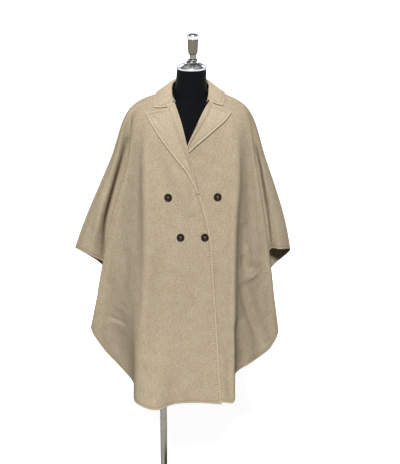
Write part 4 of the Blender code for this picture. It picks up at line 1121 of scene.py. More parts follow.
# ------------------------------------------------------------- the whole ring
@dataclass
class Ring:
    """The one ring of cloth that the fronts and the back are cut from."""

    upper: np.ndarray = field(init=False)
    lower: np.ndarray = field(init=False)
    cuff_row: int = field(init=False)
    seams: dict[str, list[int]] = field(init=False)
    fade: np.ndarray = field(init=False)

    def __post_init__(self) -> None:
        """Weave the ring above and below the cuffs."""
        places, self.cuff_row = self.row_places()
        ring = [(fold, -1) for fold in RIGHT_FRONT]
        ring += [(fold, -1 if fold.shoulder[0] < 0 else 1) for fold in BACK]
        ring += [(fold, 1) for fold in LEFT_FRONT]
        names = [fold.name for fold, _ in ring]
        underarms = [k for k, name in enumerate(names) if name == "underarm"]
        body = [k for k, (fold, _) in enumerate(ring) if fold.hem is not None]
        below = places[self.cuff_row:]
        self.upper = self.woven([self.line(*pair, places[:self.cuff_row + 1]) for pair in ring])
        self.lower = self.woven([self.line(*ring[k], below) for k in body])
        self.seams = {
            "overarm": [FOLD_COLUMNS * k for k, name in enumerate(names) if name == "overarm"],
            "underarm": [FOLD_COLUMNS * k for k in underarms],
            "side": [FOLD_COLUMNS * body.index(underarms[0]),
                     FOLD_COLUMNS * body.index(underarms[3])]}
        self.fade = np.clip(1 - (below - STATIONS["cuff"]) / CUFF_FADE, 0.0, 1.0)

    @staticmethod
    def row_places() -> tuple[np.ndarray, int]:
        """Places of the rows along a fold line, and the cuff row's number."""
        names = list(STATIONS)
        steps = [STATION_ROWS[name] for name in names[:-1]]
        rows = spaced([STATIONS[name] for name in names], steps)
        return rows, sum(steps[:names.index("cuff")])

    @staticmethod
    def line(fold: Fold, side: int, places: np.ndarray) -> np.ndarray:
        """Points of one fold line; side is -1 on the wearer's right."""
        angle = math.radians(abs(fold.neck))
        neck = (side * NECK_HALF_WIDTH * math.sin(angle),
                NECK_CENTRE_Y - NECK_HALF_DEPTH * math.cos(angle),
                NECK_MID_Z - NECK_TILT * math.cos(angle))
        points = {"neck": neck, "shoulder": fold.shoulder, "upper": fold.upper,
                  "waist": fold.waist, "cuff": fold.cuff, "low": fold.low, "hem": fold.hem}
        given = [name for name in STATIONS if points[name] is not None]
        return smooth([STATIONS[name] for name in given],
                      [points[name] for name in given], places)

    @staticmethod
    def woven(lines: Sequence[np.ndarray]) -> np.ndarray:
        """Columns of points across fold lines, row by row."""
        table = np.array(lines)
        marks = np.arange(len(table))
        at = spaced(marks, [FOLD_COLUMNS] * (len(table) - 1))
        return np.stack([smooth(marks, table[:, row], at) for row in range(table.shape[1])],
                        axis=1)

    def panel(self, columns: Place, body: Place, below: Place,
              splits: Sequence[tuple[int, int]]) -> np.ndarray:
        """Cut one panel's grid out of the ring.

        Args:
            columns: First and last column of the upper ring.
            body: The columns among them that go on below the cuffs.
            below: First and last column of the lower ring.
            splits: Each underarm column, with -1 on a front and 1 on the back.

        Returns:
            The panel's grid, NaN where a sleeve has no cloth under it.
        """
        first, last = columns
        rows = self.lower.shape[1] - 1
        grid = np.full((last - first + 1, self.cuff_row + 1 + rows, 3), np.nan)
        grid[:, :self.cuff_row + 1] = self.upper[first:last + 1]
        lower = self.lower[below[0]:below[1] + 1]
        body_part = np.s_[body[0] - first:body[1] - first + 1]
        step = grid[body_part, self.cuff_row] - lower[:, 0]
        grid[body_part, self.cuff_row + 1:] = (
            lower + step[:, None] * self.fade[None, :, None])[:, 1:]
        across = np.arange(first, last + 1)[:, None]
        places, _ = self.row_places()
        down = np.clip(1 - np.abs(places - STATIONS["cuff"]) / UNDERARM_REACH, 0.0, 1.0)
        for column, way in splits:
            near = np.clip(1 - np.abs(across - column) / (FOLD_COLUMNS / 2), 0.0, 1.0)
            grid[..., 1] += way * UNDERARM_SPLIT * near * down
        return grid


def straight(marks: Sequence[float], places: Sequence[Place],
                at: np.ndarray) -> np.ndarray:
    """Places on straight runs between marked places, one row for each mark read."""
    return np.stack([np.interp(at, marks, [place[k] for place in places])
                     for k in range(2)], axis=1)


def at_heights(line: np.ndarray, heights: np.ndarray) -> np.ndarray:
    """Points of a falling line at the given heights."""
    return np.stack([np.interp(-np.asarray(heights), -line[:, 2], line[:, k])
                     for k in range(3)], axis=1)


def seat(tree: BVHTree, x: float, z: float) -> tuple[np.ndarray, np.ndarray]:
    """Where a line from the front meets a surface, and the normal there."""
    place, normal, _, _ = tree.ray_cast(Vector((x, -1.0, z)), Vector((0.0, 1.0, 0.0)))
    if place is None:
        place, normal, _, _ = tree.find_nearest(Vector((x, -0.12, z)))
    return np.array(place), np.array(normal)


@dataclass
class Lapel:
    """A lapel that is rolled back over its front."""

    name: str
    shape: LapelShape
    flip: bool
    columns: int = 26
    rows: int = 84
    gap: float = 0.0009
    roll: float = 0.0038
    roll_share: float = 0.30
    notch_share: float = 0.26
    notch_rows: float = 0.20
    curl: float = 0.0032
    belly: float = 0.0012
    free_from: float = 0.70
    sink_from: float = 0.88
    sink_share: float = 0.45

    def panel(self, under: BVHTree, edge_line: np.ndarray) -> Panel:
        """Lay the lapel on its front.

        Args:
            under: The front's outer face.
            edge_line: The front's free edge, from the neck down.

        Returns:
            The lapel's panel.
        """
        grid = self._flat(under, edge_line)
        width = np.linalg.norm(grid[-1] - grid[0], axis=1)
        across = np.arange(self.columns + 1) / self.columns / self.roll_share
        bulge = np.sin(math.pi * np.minimum(across, 1.0))
        lift = self.roll * np.outer(bulge, np.minimum(1.0, 2 * width / width[0]))
        downs = np.linspace(0.0, 1.0, self.rows + 1)
        belly = np.sin(math.pi * downs)[None] * np.sin(
            math.pi * np.arange(self.columns + 1) / self.columns)[:, None]
        across = across * self.roll_share
        free = np.clip((across - self.free_from) / 0.30, 0.0, 1.0)[:, None] ** 2
        head = np.outer(np.clip((across - self.notch_share) / 0.12, 0.0, 1.0),
                        np.clip(1 - downs / 0.07, 0.0, 1.0) ** 2)
        thin = np.minimum(1.0, 3 * width / width[0])
        lift = lift + self.belly * belly + self.curl * np.maximum(free, head) * thin
        if self.flip:
            grid, lift = grid[::-1], lift[::-1]
        grid = grid + grid_normals(grid) * (self.gap + WALL + lift)[..., None]
        for _ in range(2):
            lift_clear(grid, [under], self.gap)
        sink = np.clip((downs - self.sink_from) / 0.12, 0.0, 1.0) ** 1.5 * WALL * self.sink_share
        grid -= grid_normals(grid) * sink[None, :, None]
        last = self.columns
        return Panel(self.name, grid, rolled=(last if self.flip else 0, 0.0016, 0.0036))

    def _flat(self, under: BVHTree, edge_line: np.ndarray) -> np.ndarray:
        """The lapel's points on the front's own face."""
        shape = self.shape
        free = np.array([shape.peak, *shape.free_edge])
        marks = run_of(free)
        downs = np.linspace(0.0, 1.0, self.rows + 1)
        free = smooth(marks, free, downs * marks[-1])
        roll = at_heights(edge_line, shape.top + (shape.low - shape.top) * downs)
        step = self.notch_share + 1.0 / self.columns
        head = straight((0.0, self.notch_share, step, 1.0),
                        (tuple(roll[0, [0, 2]]), shape.seam, shape.notch, shape.peak),
                        np.arange(self.columns + 1) / self.columns)
        grid = np.empty((self.columns + 1, self.rows + 1, 3))
        grid[0] = roll
        for column in range(1, self.columns + 1):
            across = column / self.columns
            bend = head[column] - roll[0, [0, 2]] * (1 - across) - free[0] * across
            for row, down in enumerate(downs):
                flat = roll[row, [0, 2]] * (1 - across) + free[row] * across
                fade = max(0.0, 1 - down / self.notch_rows)
                grid[column, row] = seat(under, *(flat + bend * fade))[0]
        return grid


@dataclass
class Collar:
    """The turned-down collar, its stand inside the neck and its fall outside."""

    name: str = "wool_collar"
    columns: int = 9
    fold_radius: float = 0.0042
    fold_steps: int = 12
    stand_steps: int = 8
    fall_steps: int = 22
    gap: float = 0.0007
    curl: float = 0.0022

    def panel(self, under: Sequence[BVHTree], torso: BVHTree) -> Panel:
        """Build the collar over the panels' shoulders.

        Args:
            under: The outer faces of the fronts and the back.
            torso: The dress form.

        Returns:
            The collar's panel.
        """
        marks = np.arange(len(COLLAR))
        at = spaced(marks, [self.columns] * (len(COLLAR) - 1))
        feet, folds, crowns, edges = (
            smooth(marks, [getattr(station, part) for station in COLLAR], at)
            for part in ("foot", "fold", "crown", "edge"))
        alongs = unit(np.gradient(folds, axis=0))
        falls = np.linspace(0.0, 1.0, self.fall_steps + 1)[1:]
        rises = np.linspace(0.0, 1.0, self.stand_steps, endpoint=False)
        grid = []
        for foot, fold, along, crown, edge in zip(feet, folds, alongs, crowns, edges):
            arc = self._arc(foot, fold, along, crown)
            hits = [tree.find_nearest(Vector(edge)) for tree in under]
            place, normal, _, _ = min(hits, key=lambda hit: hit[3])
            rest = np.array(place) + np.array(normal) * (self.gap + WALL + self.curl)
            fall = smooth((0.0, 0.33, 1.0), (arc[-1], crown, rest), falls)
            grid.append([foot + (arc[0] - foot) * share for share in rises]
                        + list(arc) + list(fall))
        grid = np.array(grid)
        for _ in range(2):
            lift_clear(grid, under, self.gap)
            lift_clear(grid, [torso], FORM_GAP, 0.0)
        return Panel(self.name, grid)

    def _arc(self, foot: np.ndarray, fold: np.ndarray, along: np.ndarray,
             crown: np.ndarray) -> np.ndarray:
        """Points square round the fold, touching the lines to foot and crown."""
        up = np.array((0.0, 0.0, 1.0))
        up = unit(up - along * (up @ along))
        outward = np.cross(along, up)
        outward = outward if outward @ (crown - foot) > 0 else -outward
        middle = fold - up * self.fold_radius
        turns = []
        for point, side in ((foot, -1.0), (crown, 1.0)):
            across, rise = (point - middle) @ outward, (point - middle) @ up
            spread = math.acos(min(1.0, self.fold_radius / math.hypot(across, rise)))
            turns.append(math.atan2(rise, across) + side * spread)
        start, end = turns
        if start < 0.0:
            start += 2 * math.pi
        angles = np.linspace(start, end, self.fold_steps + 1)[:, None]
        return middle + self.fold_radius * (outward * np.cos(angles) + up * np.sin(angles))


# --------------------------------------------------------------------- sewing
@dataclass
class Stitches:
    """Many short stitches as one piece of thread."""

    name: str
    finish: Thread
    radius: float = 0.00045
    sides: int = 6
    rings: int = 7
    vertices: list[np.ndarray] = field(default_factory=list)
    faces: list[tuple[int, ...]] = field(default_factory=list)
    places: list[np.ndarray] = field(default_factory=list)
    count: int = 0

    def add(self, line: np.ndarray, normals: np.ndarray, radius: Optional[float] = None,
            dive: float = 0.0007) -> None:
        """Add one stitch, whose ends dive into the cloth.

        Args:
            line: Points of its middle, on the cloth's face.
            normals: The cloth's normals there.
            radius: Its own radius, if it isn't the usual one.
            dive: How far the ends go under the face.
        """
        radius = self.radius if radius is None else radius
        share = np.linspace(0.0, 1.0, len(line))
        hump = np.sin(math.pi * share) ** 0.5
        middle = line + normals * (radius * 0.55 * hump - dive * (1 - hump))[:, None]
        along = unit(np.gradient(middle, axis=0))
        side = unit(np.cross(along, normals))
        up = np.cross(side, along)
        turns = np.arange(self.sides) * 2 * math.pi / self.sides
        thick = radius * (0.55 + 0.45 * hump)
        ring = (middle[:, None] + (side[:, None] * np.cos(turns)[None, :, None]
                                   + up[:, None] * np.sin(turns)[None, :, None])
                * thick[:, None, None])
        base = self.count
        total = len(line)
        self.vertices.append(ring.reshape(-1, 3))
        marks = run_of(line)
        self.places.append(np.stack([np.repeat(marks, self.sides) + base * 0.001,
                                     np.tile(turns * radius, total)], axis=1))
        self.faces += tube_faces(total, self.sides, base)
        self.count += total * self.sides

    def piece(self) -> bpy.types.Object:
        """All of the stitches as one object."""
        mesh = mesh_of(self.name, np.concatenate(self.vertices), self.faces,
                       np.concatenate(self.places))
        return link(self.name, mesh, self.finish.dress(self.name))


def stitch_line(tree: BVHTree, start: Place, end: Place,
                rings: int) -> tuple[np.ndarray, np.ndarray]:
    """Points and normals of a straight stitch on a face seen from the front."""
    shares = np.linspace(0.0, 1.0, rings)
    hits = [seat(tree, start[0] + (end[0] - start[0]) * s, start[1] + (end[1] - start[1]) * s)
            for s in shares]
    return np.array([hit[0] for hit in hits]), np.array([hit[1] for hit in hits])


# -------------------------------------------------------------------- turning
def turned(profile: Sequence[Place], foot: Point, segments: int,
           bend: int = 0) -> tuple[np.ndarray, list[tuple[int, ...]]]:
    """Points and faces of a body turned about an upright axis.

    Args:
        profile: Radius and height pairs, from the foot up.
        foot: The middle of the foot.
        segments: Flats round the axis.
        bend: Extra points between each pair, on a smooth curve.

    Returns:
        Its points and its faces.
    """
    line = np.array(profile, float)
    if bend:
        marks = run_of(line)
        line = smooth(marks, line, spaced(marks, [bend + 1] * (len(line) - 1)))
    turns = np.arange(segments) * 2 * math.pi / segments
    rings = np.stack([foot[0] + line[:, :1] * np.cos(turns), foot[1] + line[:, :1]
                      * np.sin(turns), foot[2] + line[:, 1:] + 0 * turns], axis=-1)
    return rings.reshape(-1, 3), tube_faces(len(line), segments)


@dataclass
class Buttons:
    """Four horn buttons, each with four holes and crossed thread."""

    finish: Horn = field(default_factory=Horn)
    thread: Thread = field(default_factory=lambda: Thread((0.42, 0.35, 0.26),
                                                          (0.20, 0.155, 0.105)))
    places: tuple[tuple[str, str, float, float], ...] = (
        ("upper_right", "right", -0.0740, 1.1649), ("upper_left", "left", 0.0821, 1.1647),
        ("lower_right", "right", -0.0355, 1.0382), ("lower_left", "right", 0.0416, 1.0384))
    profile: tuple[Place, ...] = (
        (0.0093, 0.0), (0.0108, 0.0003), (0.0120, 0.0011), (0.0125, 0.0023),
        (0.0122, 0.0036), (0.0114, 0.0042), (0.0105, 0.0041), (0.0096, 0.0035),
        (0.0086, 0.0029), (0.0070, 0.0026), (0.0048, 0.0025))
    segments: int = 72
    hole_offset: float = 0.0027
    hole_radius: float = 0.0011
    hole_sides: int = 18
    gap: float = 0.0006
    turn: tuple[float, ...] = (0.10, -0.22, 0.31, -0.08)

    def dress(self, fronts: dict[str, BVHTree]) -> None:
        """Make the buttons and sew them on.

        Args:
            fronts: The outer face of each front, by side.
        """
        for (place, side, x, z), turn in zip(self.places, self.turn):
            spot, _ = seat(fronts[side], x, z)
            near, normal, _, _ = fronts[side].find_nearest(Vector(spot))
            spin = Vector((0.0, 0.0, 1.0)).rotation_difference(Vector(normal)).to_matrix()
            spun = np.array(spin) @ np.array(
                ((math.cos(turn), -math.sin(turn), 0.0), (math.sin(turn), math.cos(turn), 0.0),
                 (0.0, 0.0, 1.0)))
            foot = np.array(near) + np.array(normal) * self.gap
            self._disc(f"horn_{place}", f"button_{place}", foot, spun)
            self._sewn(f"button_thread_{place}", foot, spun)
            LOG.info("button %s", place)

    def _disc(self, name: str, node: str, foot: np.ndarray, spun: np.ndarray) -> None:
        """One button's body with its holes.

        Args:
            name: The piece's name.
            node: The solid that it stands for.
            foot: The middle of its underside.
            spun: Its turn, as a matrix.
        """
        blank = self._loose("button_blank", self.profile, (0.0, 0.0, 0.0), self.segments, 2)
        spare = [blank]
        for k in range(4):
            angle = math.radians(45 + 90 * k)
            centre = (self.hole_offset * math.cos(angle), self.hole_offset * math.sin(angle),
                      -0.01)
            drill = self._loose("button_drill", ((self.hole_radius, 0.0),
                                                 (self.hole_radius, 0.03)),
                                centre, self.hole_sides, 0)
            cut = blank.modifiers.new("hole", "BOOLEAN")
            cut.operation = "DIFFERENCE"
            cut.object = drill
            spare.append(drill)
        drilled = blank.evaluated_get(bpy.context.evaluated_depsgraph_get())
        shape = bpy.data.meshes.new_from_object(drilled)
        local = np.array([vertex.co for vertex in shape.vertices])
        faces = [tuple(face.vertices) for face in shape.polygons]
        bpy.data.meshes.remove(shape)
        for old in spare:
            bpy.data.objects.remove(old, do_unlink=True)
        mesh = mesh_of(name, local @ spun.T + foot, faces, local[:, :2],
                       np.linalg.norm(local[:, :2], axis=1), 40.0)
        piece = link(name, mesh, self.finish.dress(name))
        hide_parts(node)

    @staticmethod
    def _loose(name: str, profile: Sequence[Place], foot: Point, segments: int,
               bend: int) -> bpy.types.Object:
        """A turned body that only serves to cut the button."""
        vertices, faces = turned(profile, foot, segments, bend)
        mesh = bpy.data.meshes.new(name)
        mesh.from_pydata(vertices.tolist(), [], faces)
        return placed(name, mesh)

    def _sewn(self, name: str, foot: np.ndarray, spun: np.ndarray) -> None:
        """Thread through the holes, crossed on top."""
        bundle = Stitches(name, self.thread, radius=0.00042, sides=8, rings=9)
        height = self.profile[-1][1]
        for k in range(2):
            for shift in (-0.00032, 0.00032):
                angle = math.radians(45 + 90 * k)
                share = np.linspace(-1.0, 1.0, 13)[:, None]
                along = np.array((math.cos(angle), math.sin(angle), 0.0))
                aside = np.array((-math.sin(angle), math.cos(angle), 0.0))
                line = along * self.hole_offset * share + aside * shift
                line[:, 2] = height + 0.0002 + 0.0003 * k
                ends = np.abs(share[:, 0]) > 0.99
                line[ends, 2] -= 0.0012
                bundle.add(line @ spun.T + foot, np.tile(spun[:, 2], (13, 1)), dive=0.0004)
        bundle.piece()


@dataclass
class Cape:
    """The wool cape: its panels, lapels, collar, buttons and sewing."""

    torso: BVHTree
    wool: Wool = field(default_factory=Wool)
    # Lapels and collar get a lighter copy of the same wool: painted light for the extra light
    # they catch as they face upwards.
    painted_lit_facing: Wool = field(default_factory=lambda: Wool(
        light=(0.585, 0.495, 0.360), dark=(0.330, 0.262, 0.170), edge_highlight=0.16))
    thread: Thread = field(default_factory=Thread)
    edge_thread: Thread = field(default_factory=lambda: Thread((0.60, 0.50, 0.365),
                                                               (0.36, 0.28, 0.185)))
    dark_thread: Thread = field(default_factory=lambda: Thread((0.19, 0.145, 0.09),
                                                               (0.10, 0.075, 0.048)))
    roll_pull: float = 0.0022
    tuck_fade: float = 0.020
    right_sleeve_margin: int = 3           # columns from the underarm that stay plain
    left_sleeve_margin: int = 2
    stitch_top: float = 0.985
    stitch_pitch: float = 0.0072
    stitch_start: float = 0.0040
    stitch_end: float = 0.0185
    row_offsets: Place = (0.0060, 0.0135)
    row_from: float = 0.075
    row_pitch: float = 0.0062
    row_stitch: float = 0.0036
    lapel_pitch: float = 0.0046
    lapel_stitch: float = 0.0028
    lapel_share: float = 0.62
    seam_end: float = 0.006                # where every row stops short of its end

    def dress(self) -> None:
        """Build every piece of the cape."""
        ring = Ring()
        for _ in range(2):
            lift_clear(ring.upper, [self.torso], FORM_GAP)
        cuff = ring.cuff_row
        right_seam, left_seam = ring.seams["overarm"]
        right_in, right_out, left_out, left_in = ring.seams["underarm"]
        side_right, side_left = ring.seams["side"]
        last_upper, last_lower = ring.upper.shape[0] - 1, ring.lower.shape[0] - 1
        last_row = cuff + ring.lower.shape[1] - 1
        width = left_seam - right_seam
        back = Panel("wool_back", ring.panel(
            (right_seam, left_seam), (right_out, left_out), (side_right, side_left),
            ((right_out, 1), (left_out, 1))),
            [(0, 0, cuff), (width, 0, cuff), (right_out - right_seam, cuff, last_row),
             (left_out - right_seam, cuff, last_row)])
        left = Panel("wool_front_left", ring.panel(
            (left_seam, last_upper), (left_in, last_upper), (side_left, last_lower),
            ((left_in, -1),)), [(0, 0, cuff), (left_in - left_seam, cuff, last_row)])
        right = Panel("wool_front_right", ring.panel(
            (0, right_seam), (0, right_in), (0, side_right), ((right_in, -1),)),
            [(right_seam, 0, cuff), (right_in, cuff, last_row)])
        back.settle(BACK_CREASES)
        left.settle(LEFT_CREASES)
        right.settle(RIGHT_CREASES)
        right.settle(RIGHT_SLEEVE_CREASES, first=right_in + self.right_sleeve_margin)
        left.settle(LEFT_SLEEVE_CREASES,
                    last=left_in - left_seam - self.left_sleeve_margin)
        right.settle(RIGHT_SIDE_EDGE, last=right_in)
        left.settle(LEFT_SIDE_EDGE, first=left_in - left_seam + 1)
        for panel in (back, left):
            lift_clear(panel.grid, [self.torso], FORM_GAP)

        left_tree = grid_tree(left.grid)
        left_lapel = Lapel("wool_lapel_left", LEFT_LAPEL, True).panel(
            left_tree, left.grid[-1, :cuff])
        lapel_tree = grid_tree(left_lapel.grid)
        for _ in range(2):
            lift_clear(right.grid, [left_tree, lapel_tree], LAYER_GAP)
        right_tree = grid_tree(right.grid)
        right_lapel = Lapel("wool_lapel_right", RIGHT_LAPEL, False).panel(
            right_tree, right.grid[0, :cuff])
        back_tree = grid_tree(back.grid)
        collar = Collar().panel((right_tree, back_tree, left_tree), self.torso)
        self._tuck(right, RIGHT_LAPEL, 0, 1)
        self._tuck(left, LEFT_LAPEL, -1, -2)

        for panel, node, finish in (
                (right, "front_right", self.wool), (left, "front_left", self.wool),
                (back, "back", self.wool), (right_lapel, "lapel_right", self.painted_lit_facing),
                (left_lapel, "lapel_left", self.painted_lit_facing), (collar, "collar", self.painted_lit_facing)):
            piece = panel.solid(finish)
            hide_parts(node)
            LOG.info("%s: %d faces", piece.name, len(piece.data.polygons))
        Buttons().dress({"right": right_tree, "left": left_tree})
        self._sew(right_tree, left_tree, right_lapel, left_lapel, right, left)

    def _tuck(self, panel: Panel, shape: LapelShape, edge: int, inner: int) -> None:
        """Draw a front's edge back into the roll of its lapel."""
        line = panel.grid[edge].copy()
        towards = unit(panel.grid[inner] - line)
        height = line[:, 2]
        share = np.clip((height - shape.low - 0.004) / self.tuck_fade, 0.0, 1.0)
        share *= np.clip((shape.top + 0.006 - height) / 0.006, 0.0, 1.0)
        for column, part in ((edge, 1.0), (inner, 0.6)):
            panel.grid[column] += towards * (self.roll_pull * share * part)[:, None]

    def _sew(self, right: BVHTree, left: BVHTree, right_lapel: Panel, left_lapel: Panel,
             front: Panel, left_front: Panel) -> None:
        """Whip stitches, seam stitches and buttonholes."""
        edge = Stitches("front_edge_stitches", self.edge_thread, radius=0.0012)
        line = front.grid[0]
        inner = front.grid[6] - line
        marks = run_of(line)
        low = float(np.interp(-self.stitch_top, -line[:, 2], marks))
        for k, mark in enumerate(np.arange(low, marks[-1] - self.seam_end,
                                           self.stitch_pitch)):
            spot = np.array([np.interp(mark, marks, line[:, j]) for j in range(3)])
            way = unit(np.array([np.interp(mark, marks, inner[:, j]) for j in range(3)]))
            wobble = 0.0006 * math.sin(k * 2.4) + 0.0004 * math.sin(k * 5.1)
            start = spot + way * (self.stitch_start + wobble)
            end = spot + way * (self.stitch_end + 1.6 * wobble)
            end[2] += 0.0007 * math.sin(k * 1.7)
            edge.add(*stitch_line(right, start[[0, 2]], end[[0, 2]], edge.rings))
        edge.piece()
        self._sleeve_rows(right, left, front, left_front)
        self._lapel_rows(right_lapel, left_lapel)
        self._buttonholes(right, right_lapel)

    def _sleeve_rows(self, right: BVHTree, left: BVHTree, right_front: Panel,
                     left_front: Panel) -> None:
        """Two rows of running stitches beside each overarm seam."""
        for name, tree, panel, seam, inner in (
                ("sleeve_right_stitches", right, right_front, -1, -5),
                ("sleeve_left_stitches", left, left_front, 0, 4)):
            rows = Stitches(name, self.dark_thread, radius=0.00055)
            _, seam_row = Ring.row_places()
            line = panel.grid[seam, :seam_row]
            inward = unit(panel.grid[inner, :seam_row] - line)
            marks = run_of(line)
            for offset in self.row_offsets:
                beside = line + inward * offset
                for mark in np.arange(self.row_from, marks[-1] - self.seam_end,
                                      self.row_pitch):
                    spots = [[np.interp(m, marks, beside[:, j]) for j in (0, 2)]
                             for m in (mark, mark + self.row_stitch)]
                    rows.add(*stitch_line(tree, *spots, rows.rings), dive=0.0005)
            rows.piece()

    def _lapel_rows(self, right_lapel: Panel, left_lapel: Panel) -> None:
        """Running stitches along the lapels' top edges, from the free side."""
        for name, panel, free in (("lapel_right_stitches", right_lapel, -1),
                                  ("lapel_left_stitches", left_lapel, 0)):
            tree = grid_tree(panel.grid)
            rows = Stitches(name, self.dark_thread, radius=0.00065)
            top = panel.grid[:, 1]
            marks = run_of(top)
            free_side = marks[-1] if free == -1 else 0.0
            for mark in np.arange(self.seam_end, marks[-1] - self.seam_end,
                                  self.lapel_pitch):
                if abs(mark - free_side) > self.lapel_share * marks[-1]:
                    continue
                spots = [[np.interp(m, marks, top[:, j]) for j in (0, 2)]
                         for m in (mark, mark + self.lapel_stitch)]
                rows.add(*stitch_line(tree, *spots, rows.rings), dive=0.0005)
            rows.piece()

    def _buttonholes(self, right: BVHTree, lapel: Panel) -> None:
        """The worked buttonhole by the lower button and the one on the lapel."""
        holes = Stitches("buttonholes", Thread((0.40, 0.32, 0.215), (0.17, 0.125, 0.078)))
        lapel_tree = grid_tree(lapel.grid)
        for tree, start, end, pitch in ((right, (0.0190, 1.0424), (0.0345, 1.0412), 0.0009),
                                        (lapel_tree, (-0.1240, 1.4110), (-0.1010, 1.4040),
                                         0.0012)):
            start, end = np.array(start), np.array(end)
            length = np.linalg.norm(end - start)
            way = (end - start) / length
            side = np.array((-way[1], way[0]))
            for mark in np.arange(0.0, length, pitch):
                spot = start + way * mark
                for half in (-1, 1):
                    near, far = spot + side * 0.0002 * half, spot + side * 0.0016 * half
                    holes.add(*stitch_line(tree, near, far, 5), radius=0.0004, dive=0.0004)
        holes.piece()


@dataclass
class Torso:
    """The limbless dress form under its jersey cover."""

    finish: Jersey = field(default_factory=Jersey)
    sides: int = 112
    rings: int = 150

    def points(self) -> np.ndarray:
        """Rings of points from the waist's foot to the neck's top."""
        table = np.array(FORM_SECTIONS)
        marks = run_of(table[:, :3])
        sections = smooth(marks, table, np.linspace(0.0, marks[-1], self.rings))
        turns = np.arange(self.sides) * 2 * math.pi / self.sides
        c, s = np.cos(turns), np.sin(turns)
        rings = []
        for height, half_width, front, behind, roundness, middle in sections:
            power = 2 / roundness
            depth = np.where(s > 0, behind, front)
            rings.append(np.stack([middle + half_width * np.sign(c) * np.abs(c) ** power,
                                   depth * np.sign(s) * np.abs(s) ** power,
                                   np.full(self.sides, height)], axis=1))
        return np.array(rings)

    def dress(self) -> BVHTree:
        """Build the torso.

        Returns:
            A search tree over its faces.
        """
        mesh = mesh_of("jersey_torso", self.points().reshape(-1, 3),
                       tube_faces(self.rings, self.sides), sharp=50.0)
        piece = link("jersey_torso", mesh, self.finish.dress("jersey_torso"))
        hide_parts("dress_form")
        LOG.info("torso")
        return tree_of(piece)


@dataclass
class Turned:
    """A turned piece of hardware that stands for one solid."""

    name: str
    node: str
    profile: tuple[Place, ...]
    foot: Point
    finish: Metal
    segments: int = 96
    bend: int = 0

    def dress(self) -> None:
        """Turn the piece and give it its finish."""
        vertices, faces = turned(self.profile, self.foot, self.segments, self.bend)
        mesh = mesh_of(self.name, vertices, faces, sharp=35.0)
        piece = link(self.name, mesh, self.finish.dress(self.name))
        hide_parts(self.node)
        LOG.info("%s", self.name)


@dataclass
class Stand:
    """Neck cap, finial, pole and base plate."""

    chrome: Metal = field(default_factory=lambda: Metal(
        (0.55, 0.57, 0.58), Polish.MIRROR, 0.24, wear=(0.22, 0.23, 0.24)))
    nickel: Metal = field(default_factory=lambda: Metal(
        (0.19, 0.185, 0.17), Polish.MIRROR, 0.16, (1.0, 1.0, 0.10), (0.05, 0.05, 0.05)))
    satin: Metal = field(default_factory=lambda: Metal(
        (0.135, 0.116, 0.092), Polish.SATIN, 0.36, (1.0, 1.0, 0.06), (0.07, 0.06, 0.05)))
    brushed: Metal = field(default_factory=lambda: Metal(
        (0.20, 0.196, 0.165), Polish.BRUSHED, 0.30, (1.0, 1.0, 0.04), (0.13, 0.125, 0.11)))
    plate: Metal = field(default_factory=lambda: Metal(
        (0.24, 0.24, 0.235), Polish.BRUSHED, 0.34, (1.0, 1.0, 1.0), (0.15, 0.15, 0.14)))
    cap: tuple[Place, ...] = (
        (0.0462, 0.0), (0.0470, 0.0006), (0.0470, 0.0058), (0.0466, 0.0068),
        (0.0455, 0.0080), (0.0430, 0.0098), (0.0400, 0.0118), (0.0360, 0.0138),
        (0.0320, 0.0156), (0.0280, 0.0171), (0.0240, 0.0185), (0.0206, 0.0200),
        (0.0182, 0.0216), (0.0174, 0.0228), (0.0166, 0.0240), (0.0158, 0.0243))
    stem: tuple[Place, ...] = (
        (0.0140, 0.0), (0.0148, 0.0006), (0.0150, 0.0016), (0.0150, 0.0042),
        (0.0144, 0.0054), (0.0118, 0.0062), (0.0108, 0.0072), (0.0106, 0.0088),
        (0.0106, 0.0205))
    grip: tuple[Place, ...] = (
        (0.0108, 0.0206), (0.0128, 0.0220), (0.0143, 0.0240), (0.0146, 0.0256),
        (0.0143, 0.0266), (0.0146, 0.0276), (0.0152, 0.0292), (0.0169, 0.0686))
    flange: tuple[Place, ...] = (
        (0.0166, 0.0687), (0.0172, 0.0692), (0.0183, 0.0704), (0.0187, 0.0722),
        (0.0188, 0.0786), (0.0184, 0.0812), (0.0172, 0.0838), (0.0160, 0.0848),
        (0.0148, 0.0850), (0.0140, 0.0846), (0.0128, 0.0845), (0.0090, 0.0856),
        (0.0040, 0.0862))
    neck_top: float = 1.5492
    grip_across: float = 0.004
    pole_across: float = -0.100
    pole_radius: float = 0.0115
    base_radius: float = 0.180
    base_thickness: float = 0.010

    def dress(self) -> None:
        """Build the stand's pieces."""
        cap_foot = self.neck_top + SEAM_GAP
        cap_top = cap_foot + self.cap[-1][1] + SEAM_GAP
        Turned("chrome_neck_cap", "neck_cap", self.cap, (0.0, 0.0, cap_foot),
               self.chrome, 128).dress()
        finial_foot = (self.grip_across, 0.0, cap_top)
        Turned("chrome_stem", "finial", self.stem, finial_foot, self.nickel).dress()
        Turned("metal_grip", "finial", self.grip, finial_foot, self.satin).dress()
        Turned("chrome_flange", "finial", self.flange, finial_foot, self.chrome).dress()
        low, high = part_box("pole")
        tube = ((self.pole_radius - 0.0004, 0.0), (self.pole_radius, 0.0006),
                (self.pole_radius, high.z - low.z - 0.0006),
                (self.pole_radius - 0.0004, high.z - low.z))
        Turned("steel_pole", "pole", tube, (self.pole_across, 0.0, low.z),
               self.brushed, 64).dress()
        rim = self.base_radius
        thick = self.base_thickness
        plate = ((rim - 0.001, 0.0), (rim, 0.001), (rim, thick - 0.003),
                 (rim - 0.0008, thick - 0.0012), (rim - 0.0022, thick - 0.0003),
                 (rim - 0.0045, thick))
        Turned("steel_base", "base_plate", plate, (0.0, 0.0, 0.0), self.plate, 160).dress()


